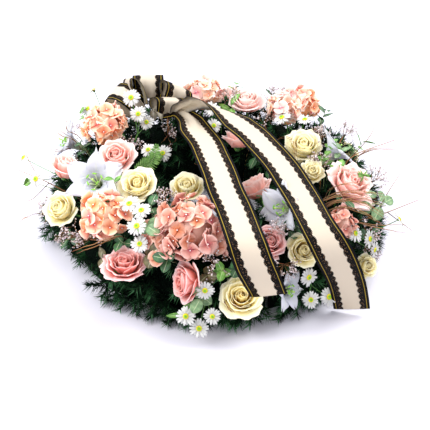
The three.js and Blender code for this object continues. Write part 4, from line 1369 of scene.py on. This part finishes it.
def leaf_material(name, *greens):
    """Soft moulded leaf: a paler midrib, side veins pressed in, and blotches of three greens."""
    material, tree, surface = new_material(name, roughness=0.5)
    across, along, _ = marks_of(tree)
    stops = list(zip((0.3, 0.5, 0.75), greens))
    colour = add_node(tree, "ShaderNodeValToRGB", (grain(tree, 0.12, 3.0),), stops)
    aside = add_node(tree, "ShaderNodeMath", (across,), operation="ABSOLUTE")
    rib = add_node(tree, "ShaderNodeMath", (aside, 0.07), operation="LESS_THAN")
    pale = add_node(tree, "ShaderNodeMath", (rib, 0.35), operation="MULTIPLY")
    mixed_colour(tree, pale, colour, "#D8E2B4", surface)
    slanted = add_node(tree, "ShaderNodeMath", (aside, -0.5, along), operation="MULTIPLY_ADD")
    spaced = add_node(tree, "ShaderNodeMath", (slanted, 55.0), operation="MULTIPLY")
    roughen(tree, surface, add_node(tree, "ShaderNodeMath", (spaced,), operation="SINE"), 0.3, 0.0004)
    return material


def leaf(shape, foot, facing, heading, length, width, rng, outline, slot=0):
    """A leaf from its foot along a heading, its upper side towards facing."""
    heading, facing = unit(np.asarray(heading)), np.asarray(facing)
    normal = unit(facing - heading * np.dot(facing, heading))
    side = np.cross(normal, heading)
    grid, marks = blade_grid(
        length, width, outline, arch=rng.uniform(-55, 10), rows=8, columns=5, fold=width * 0.07, ripple=0.5
    )
    placed = foot + grid @ np.stack([heading, side, normal])
    skin(shape, placed, marks, thickness=0.5, slots=(slot, slot))


ROUND_LEAF = (0.25, 0.75, 0.97, 1.0, 0.92, 0.68, 0.12)
POINTED_LEAF = (0.15, 0.62, 0.95, 1.0, 0.8, 0.45, 0.04)
LEAF_TURN = 2.4


def eucalyptus(name, looks):
    """Round leaves on short stalks in pairs up a curved stem."""
    rng = np.random.default_rng(700)
    shape = Shape()
    line = strand(shape, [(335, 46, 26), (335, 47, 110), (333, 50, 150), (330, 52, 182)], 1.8, 0.9)
    leaves = [
        (338, 45, 140, 28, 300, 60),
        (329, 47, 142, 30, 300, 50),
        (336, 50, 160, 28, 340, 40),
        (328, 54, 164, 28, 290, 45),
        (332, 51, 184, 24, 320, 50),
    ]
    for k, spot in enumerate(leaves):
        middle, size, facing = aim_of(spot)
        foot = line[int((0.62 + 0.36 * k / 5) * (len(line) - 1))]
        heading = middle - foot
        start = middle - unit(heading - facing * np.dot(heading, facing)) * size / 2
        tube(shape, curve_through([foot, start], 3), 0.8, 5)
        leaf(shape, start, facing, middle - start, size, size * 0.95, rng, ROUND_LEAF)
    make_piece(name + "_leaves", [shape.mesh(name, looks)], name)


def blossom_shape():
    """A dried limonium blossom 4 mm wide: a five-sided papery cup."""
    shape = Shape()
    tube(shape, [(0, 0, 0), (0, 0, 1.2), (0, 0, 2.2)], [0.4, 1.3, 2.0], 5)
    return shape


def limonium_sprig(name, spots, looks, seed):
    """Sprigs of dried limonium: each forks three times from its stem and ends in blossoms."""
    twig, petals = looks
    rng = np.random.default_rng(seed)
    shape = Shape()
    blossoms = []
    for around, lean, reach, spread in spots:
        root, fork = at(around, lean, STEM_DEPTH), at(around, lean, reach - spread)
        outwards = unit(fork - root)
        tube(shape, curve_through([root, fork], 3), 1.2, 5)
        for _ in range(9):
            first = unit(outwards + rng.normal(0, 0.55, 3))
            knee = fork + first * spread * rng.uniform(0.45, 0.6)
            between = (fork + knee) / 2 + rng.normal(0, 1.2, 3)
            tube(shape, curve_through([fork, between, knee], 4), [0.6, 0.5, 0.5, 0.4], 4)
            for _ in range(3):
                second = unit(first + rng.normal(0, 0.5, 3))
                tip = knee + second * spread * rng.uniform(0.3, 0.55)
                tube(shape, curve_through([knee, tip], 3), [0.4, 0.35, 0.3], 4)
                blossoms += [(tip, second, rng.uniform(0.8, 1.25))]
                aside = unit(second + rng.normal(0, 0.6, 3))
                blossoms += [(tip - second * 4 + aside * 2.5, aside, rng.uniform(0.7, 1.1))]
                blossoms += [(tip - second * 7 - aside * 2.5, -aside, rng.uniform(0.7, 1.1))]
                blossoms += [(tip - second * 9.5 + aside * 2, aside, rng.uniform(0.6, 1.0))]
    meshes = [planted(blossoms, blossom_part, petals, seed, smallest=0.7), shape.mesh(name, [twig])]
    make_piece(name + "_sprigs", meshes, name)


def blossom_material():
    """Papery dried blossoms: off-white with mauve and buff among them."""
    material, tree, surface = new_material("dried blossoms", roughness=0.85)
    hue = add_node(tree, "ShaderNodeAttribute", out="Fac", attribute_name="hue")
    stops = [(0.0, "#7E6A62"), (0.35, "#B8A8A2"), (0.7, "#E8E0DE"), (1.0, "#AD9AA4")]
    coloured(tree, surface, hue, stops)
    return material


# A tuft: the line of its main stalk, then its side blades, each the share it leaves at and its places.
GRASS_TUFTS = [
    ([(195, 50, 26), (193, 52, 110), (188, 58, 150), (182, 65.5, 222)],
     [(0.75, (183, 56, 190), (178, 58, 205)), (0.66, (193, 70, 168), (190, 76, 188))]),
    ([(346, 12, 26), (344, 14, 110), (343, 17, 165), (352, 36, 222)],
     [(0.66, (349, 22, 205), (356, 24, 225))]),
    ([(328, 52, 26), (327, 54, 110), (330, 57, 160), (339, 62.5, 217)],
     [(0.75, (333, 68, 185), (333, 74, 205)), (0.66, (338, 50, 175), (344, 48, 200))]),
]
dried_grass = grass_material()
for number, (line, sides) in enumerate(GRASS_TUFTS, 1):
    grass_piece(f"grass_twig_{number}", line, sides, [dried_grass])
grey_green = leaf_material("eucalyptus leaf", "#4E6B48", "#67865A", "#8CA678")
eucalyptus("eucalyptus", [grey_green])
blossom_part = part_object("blossom", blossom_shape())
limonium_looks = (dried_grass, blossom_material())
limonium_sprig("limonium", [(220, 61, 172, 44)], limonium_looks, 800)

# Loose stalks of dried grass between the flowers: the places that each passes through.
LOOSE_GRASS = [
    [(173, 23, 150), (164, 40, 165), (157, 42, 183), (152, 39, 177)],
    [(174, 28, 150), (174, 33, 175), (166, 45, 200)],
    [(182, 28, 150), (186, 33, 170), (184, 41, 190)],
    [(238, 42, 145), (236, 48, 160), (232, 57, 168), (228, 65, 172)],
    [(250, 21, 140), (252, 18, 165), (253, 10, 180)],
    [(272, 76, 140), (273, 79, 155), (276, 87, 160)],
    [(273, 78, 140), (275, 79, 155), (278, 82, 158)],
    [(310, 27, 140), (314, 29, 165), (321, 37, 178), (327, 53, 185)],
    [(311, 21, 140), (315, 25, 165), (321, 32, 178), (326, 45, 190)],
    [(312, 24, 140), (317, 30, 168), (322, 41, 182), (328, 59, 185)],
    [(311, 29, 140), (316, 34, 165), (320, 44, 175), (325, 58, 175)],
    [(313, 20, 140), (318, 25, 170), (324, 34, 182), (331, 47, 195)],
    [(319, 47, 145), (321, 54, 170), (327, 63, 180), (333, 72, 190)],
    [(349, 22, 150), (352, 30, 175), (357, 46, 192)],
    [(22, -40, 150), (9, -31, 170), (358, -27, 172), (339, -25, 160)],
    [(132, -48, 140), (137, -38, 160), (130, -28, 175)],
    [(322, 17, 145), (324, 24, 170), (330, 37, 185)],
    [(199, 73, 160), (202, 72, 185), (201, 77, 200)],
    [(91, -101, 110), (102, -79, 140), (118, -71, 150)],
]
BLADE_STEPS = 22


def loose_grass(name, lines, looks):
    """Flat dried blades that taper to the tip, each with a short split fibre beside it."""
    rng = np.random.default_rng(710)
    shape = Shape()
    for places in lines:
        around, lean = places[0][:2]
        line = curve_through([at(around, lean, 100)] + [at(*place) for place in places], BLADE_STEPS)
        for _ in range(2):
            drift = np.cumsum(rng.normal(0, 1.0, (BLADE_STEPS, 3)), axis=0)
            path = line + drift * np.linspace(0, 1, BLADE_STEPS)[:, None]
            along = np.gradient(path, axis=0)
            side = unit(np.cross(along, path - np.array([0, 0, -400.0])))
            width = 1.1 * rng.uniform(0.6, 1.1) * np.sin(np.linspace(0.9, 3.0, BLADE_STEPS))
            grid = np.stack([path - side * width[:, None], path, path + side * width[:, None]], 1)
            marks = np.zeros((BLADE_STEPS, 3, 3))
            marks[..., 0] = [-1, 0, 1]
            marks[..., 1] = np.linspace(0, 1, BLADE_STEPS)[:, None]
            skin(shape, grid, marks, thickness=0.5)
    make_piece(name, [shape.mesh(name, looks)])


loose_grass("loose_grass", LOOSE_GRASS, [dried_grass])

# Limonium between the flowers: around, lean, reach and spread.
LIMONIUM_SPOTS = [
    (157, 42, 168, 40), (171, -25, 152, 36), (132, -39, 152, 36), (242, -12, 152, 30),
    (199, 66, 160, 36), (230, 44, 160, 36), (223, 59, 152, 40), (269, 38, 168, 34),
    (269, 49, 164, 36), (80, -9, 175, 34), (51, -29, 168, 36), (5, -6, 172, 36),
    (338, -4, 168, 32), (345, 44, 172, 36), (325, 67, 168, 34), (291, 56, 166, 36),
    (291, 28, 162, 30), (247, 9, 160, 28), (330, 98, 150, 30), (130, 20, 160, 36),
    (60, 20, 165, 36), (15, 25, 165, 36),
]
limonium_sprig("limonium_filler", LIMONIUM_SPOTS, limonium_looks, 810)

bright_green = leaf_material("bright leaf", "#3C6E1E", "#588A2E", "#86AE56")
dark_green = leaf_material("dark leaf", "#16361B", "#234E26", "#376B33")
brown_green = leaf_material("bronze leaf", "#3B3620", "#544A2A", "#6B6A3E")
LEAF_LOOKS = [bright_green, dark_green, brown_green, grey_green]
BRIGHT, DARK, BRONZE, GREY = range(4)
# Leaf sprigs: around, lean, reach, leaf length, leaf width, number of leaves and their material.
LEAF_SPRIGS = [
    (186, 66, 190, 26, 19, 3, BRIGHT), (153, 39, 181, 24, 17, 3, BRIGHT), (77, -22, 172, 46, 15, 3, BRIGHT),
    (248, 32, 170, 28, 25, 3, GREY), (250, 46, 158, 30, 27, 4, BRONZE), (264, 75, 160, 32, 24, 3, GREY),
    (261, 88, 158, 36, 13, 3, BRIGHT), (272, 54, 162, 22, 16, 4, BRIGHT), (275, 55, 158, 22, 16, 4, DARK),
    (351, 0, 172, 22, 13, 4, BRIGHT), (345, 8, 176, 22, 14, 3, GREY), (343, -2, 166, 24, 15, 4, BRIGHT),
    (334, 12, 166, 26, 15, 4, BRIGHT), (325, 68, 160, 28, 20, 4, DARK), (227, 14, 192, 24, 11, 2, BRIGHT),
    (45, -66, 140, 34, 22, 5, DARK), (24, -64, 140, 34, 22, 5, DARK), (302, -17, 140, 32, 22, 5, DARK),
    (239, 45, 152, 28, 18, 4, DARK), (267, 57, 150, 26, 18, 4, BRONZE), (255, 51, 158, 26, 20, 4, DARK),
    (324, 33, 152, 28, 18, 4, DARK), (299, 31, 150, 30, 20, 4, DARK), (241, 7, 150, 30, 20, 4, DARK),
    (216, 66, 150, 26, 15, 4, DARK), (190, -6, 160, 26, 16, 4, BRIGHT), (120, 15, 160, 28, 18, 5, DARK),
    (80, 25, 160, 28, 18, 5, BRIGHT), (60, 15, 160, 28, 18, 5, DARK), (30, 20, 160, 28, 18, 5, DARK),
    (10, 40, 160, 28, 18, 5, BRIGHT), (100, 50, 155, 28, 18, 5, DARK), (150, 10, 160, 26, 16, 4, DARK),
    (175, 20, 150, 26, 16, 4, DARK), (207, 5, 150, 26, 16, 4, BRIGHT), (233, 62, 150, 26, 16, 3, BRONZE),
]


def leaf_sprig(name, sprigs, looks, seed):
    """Leaves set in turn up the end of a wire stem, their upper sides to the light."""
    rng = np.random.default_rng(seed)
    shape = Shape()
    for around, lean, reach, length, width, count, kind in sprigs:
        root, tip = at(around, lean, STEM_DEPTH), at(around, lean, reach - 0.4 * length)
        outwards = unit(tip - root)
        line = curve_through([root, (root + tip) / 2, tip + rng.normal(0, 3, 3)], 12)
        tube(shape, line, np.linspace(1.3, 0.7, 12), 5, slot=kind)
        spin = rng.uniform(0, 6.28)
        for k in range(count):
            foot = line[-1] - outwards * (count - 1 - k) * 0.3 * length
            turn = spin + LEAF_TURN * k
            around_stem = stand(np.array([math.cos(turn), math.sin(turn), 0.0]), ORIGIN, outwards)
            heading = unit(around_stem + outwards * rng.uniform(0.25, 0.9))
            outline = POINTED_LEAF if width < 0.66 * length else ROUND_LEAF
            leaf(shape, foot, outwards, heading, length * rng.uniform(0.8, 1.1), width, rng, outline, kind)
    make_piece(name, [shape.mesh(name, looks)])


leaf_sprig("leaf_sprigs", LEAF_SPRIGS, LEAF_LOOKS, 820)

FROND_STEPS = 26
FIRST_LEAFLET = 5
FROND_FACING = np.array([0.1, -0.6, 0.8])


def fern_frond(name, fronds, looks, seed):
    """Fern fronds: a curved midrib with pairs of narrow leaflets that shorten towards the tip."""
    rng = np.random.default_rng(seed)
    shape = Shape()
    for places, length in fronds:
        line = curve_through([at(*place) for place in places], FROND_STEPS)
        tube(shape, line, np.linspace(1.0, 0.4, FROND_STEPS), 5)
        for k in range(FIRST_LEAFLET, FROND_STEPS):
            along = unit(line[min(k + 1, FROND_STEPS - 1)] - line[k - 1])
            side = unit(np.cross(along, FROND_FACING))
            share = (k - FIRST_LEAFLET) / (FROND_STEPS - FIRST_LEAFLET)
            span = length * math.sin(math.pi * (0.18 + 0.8 * share)) + 2
            for turn in (-1, 1):
                heading = unit(side * turn + along * 0.45)
                leaf(shape, line[k], FROND_FACING, heading, span, 3.4, rng, POINTED_LEAF)
    make_piece(name, [shape.mesh(name, looks)])


# A frond: the places its midrib passes through, and the length of its leaflets.
FERN_FRONDS = [
    ([(174, -40, 60), (176, -44, 110), (172, -48, 140), (160, -50, 150)], 17),
    ([(183, -38, 60), (185, -44, 110), (184, -44, 150), (178, -40, 176)], 17),
    ([(334, 30, 80), (336, 30, 130), (336, 30, 160), (333, 30, 182)], 15),
]
fern_frond("fern_fronds", FERN_FRONDS, [bright_green], 830)

# Three more sprays: one stands in the hole and two behind.
EXTRA_SPRAYS = [
    [(170, -55, 100), [(162, -51, 150, 42, 262, 55), (176, -38, 152, 36, 250, 60)]],
    [(75, 60, 112), [(72, 64, 150, 40), (78, 70, 156, 38), (68, 74, 150, 38)]],
    [(125, 66, 112), [(122, 66, 150, 40), (128, 72, 152, 38), (119, 74, 150, 38)]],
]
for number, (root, heads) in enumerate(EXTRA_SPRAYS):
    daisy_spray(f"daisy_extra_{number + 1}", root, heads, daisy_looks, 640 + number)

# ---- The studio ---------------------------------------------------------------------------------
# A plain pale floor under soft lights; the camera looks down on the wreath from the front.

CAMERA_AIM = (-2, -35, 40)
CAMERA_DISTANCE = 1.72
CAMERA_ELEVATION = math.radians(35)
WORLD_LIGHT = 1.45
# The lights: name, kind, place in metres, angle of the sun or size of the panel, power.
LIGHTS = [
    ("key", "SUN", (0.85, 0.5, 1.7), 0.7, 3.4),
    ("fill", "AREA", (-1.4, -0.6, 1.6), 1.6, 48),
]


def studio():
    """The floor, the lights, the world and the camera."""
    floor_mesh = bpy.data.meshes.new("floor")
    floor_mesh.from_pydata([(-6, -6, 0), (6, -6, 0), (6, 8, 0), (-6, 8, 0)], [], [(0, 1, 2, 3)])
    floor_paint = new_material("white floor", base_color="#C9C8D0", roughness=0.9)[0]
    floor_mesh.materials.append(floor_paint)
    floor = bpy.data.objects.new("floor", floor_mesh)
    bpy.context.scene.collection.objects.link(floor)
    world = bpy.data.worlds.new("studio")
    bpy.context.scene.world = world
    world.use_nodes = True
    world.node_tree.nodes["Background"].inputs["Color"].default_value = linear("#F1F0F8")
    world.node_tree.nodes["Background"].inputs["Strength"].default_value = WORLD_LIGHT
    for name, kind, place, size, power in LIGHTS:
        light = bpy.data.lights.new(name, kind)
        light.energy = power
        setattr(light, "angle" if kind == "SUN" else "size", size)
        lamp = bpy.data.objects.new(name, light)
        lamp.location = place
        lamp.rotation_euler = (-Vector(place)).to_track_quat("-Z", "Y").to_euler()
        bpy.context.scene.collection.objects.link(lamp)
    camera = bpy.data.objects.new("camera", bpy.data.cameras.new("camera"))
    camera.data.lens = 65
    camera.data.sensor_width = 36
    aim = Vector(np.array(CAMERA_AIM) * MM + RING_CENTRE)
    back = Vector((0, -math.cos(CAMERA_ELEVATION), math.sin(CAMERA_ELEVATION)))
    camera.location = aim + back * CAMERA_DISTANCE
    camera.rotation_euler = back.to_track_quat("Z", "Y").to_euler()
    bpy.context.scene.collection.objects.link(camera)
    bpy.context.scene.camera = camera
    bpy.context.scene.view_settings.view_transform = "Standard"


for part in planting_parts:
    bpy.data.objects.remove(part)
studio()
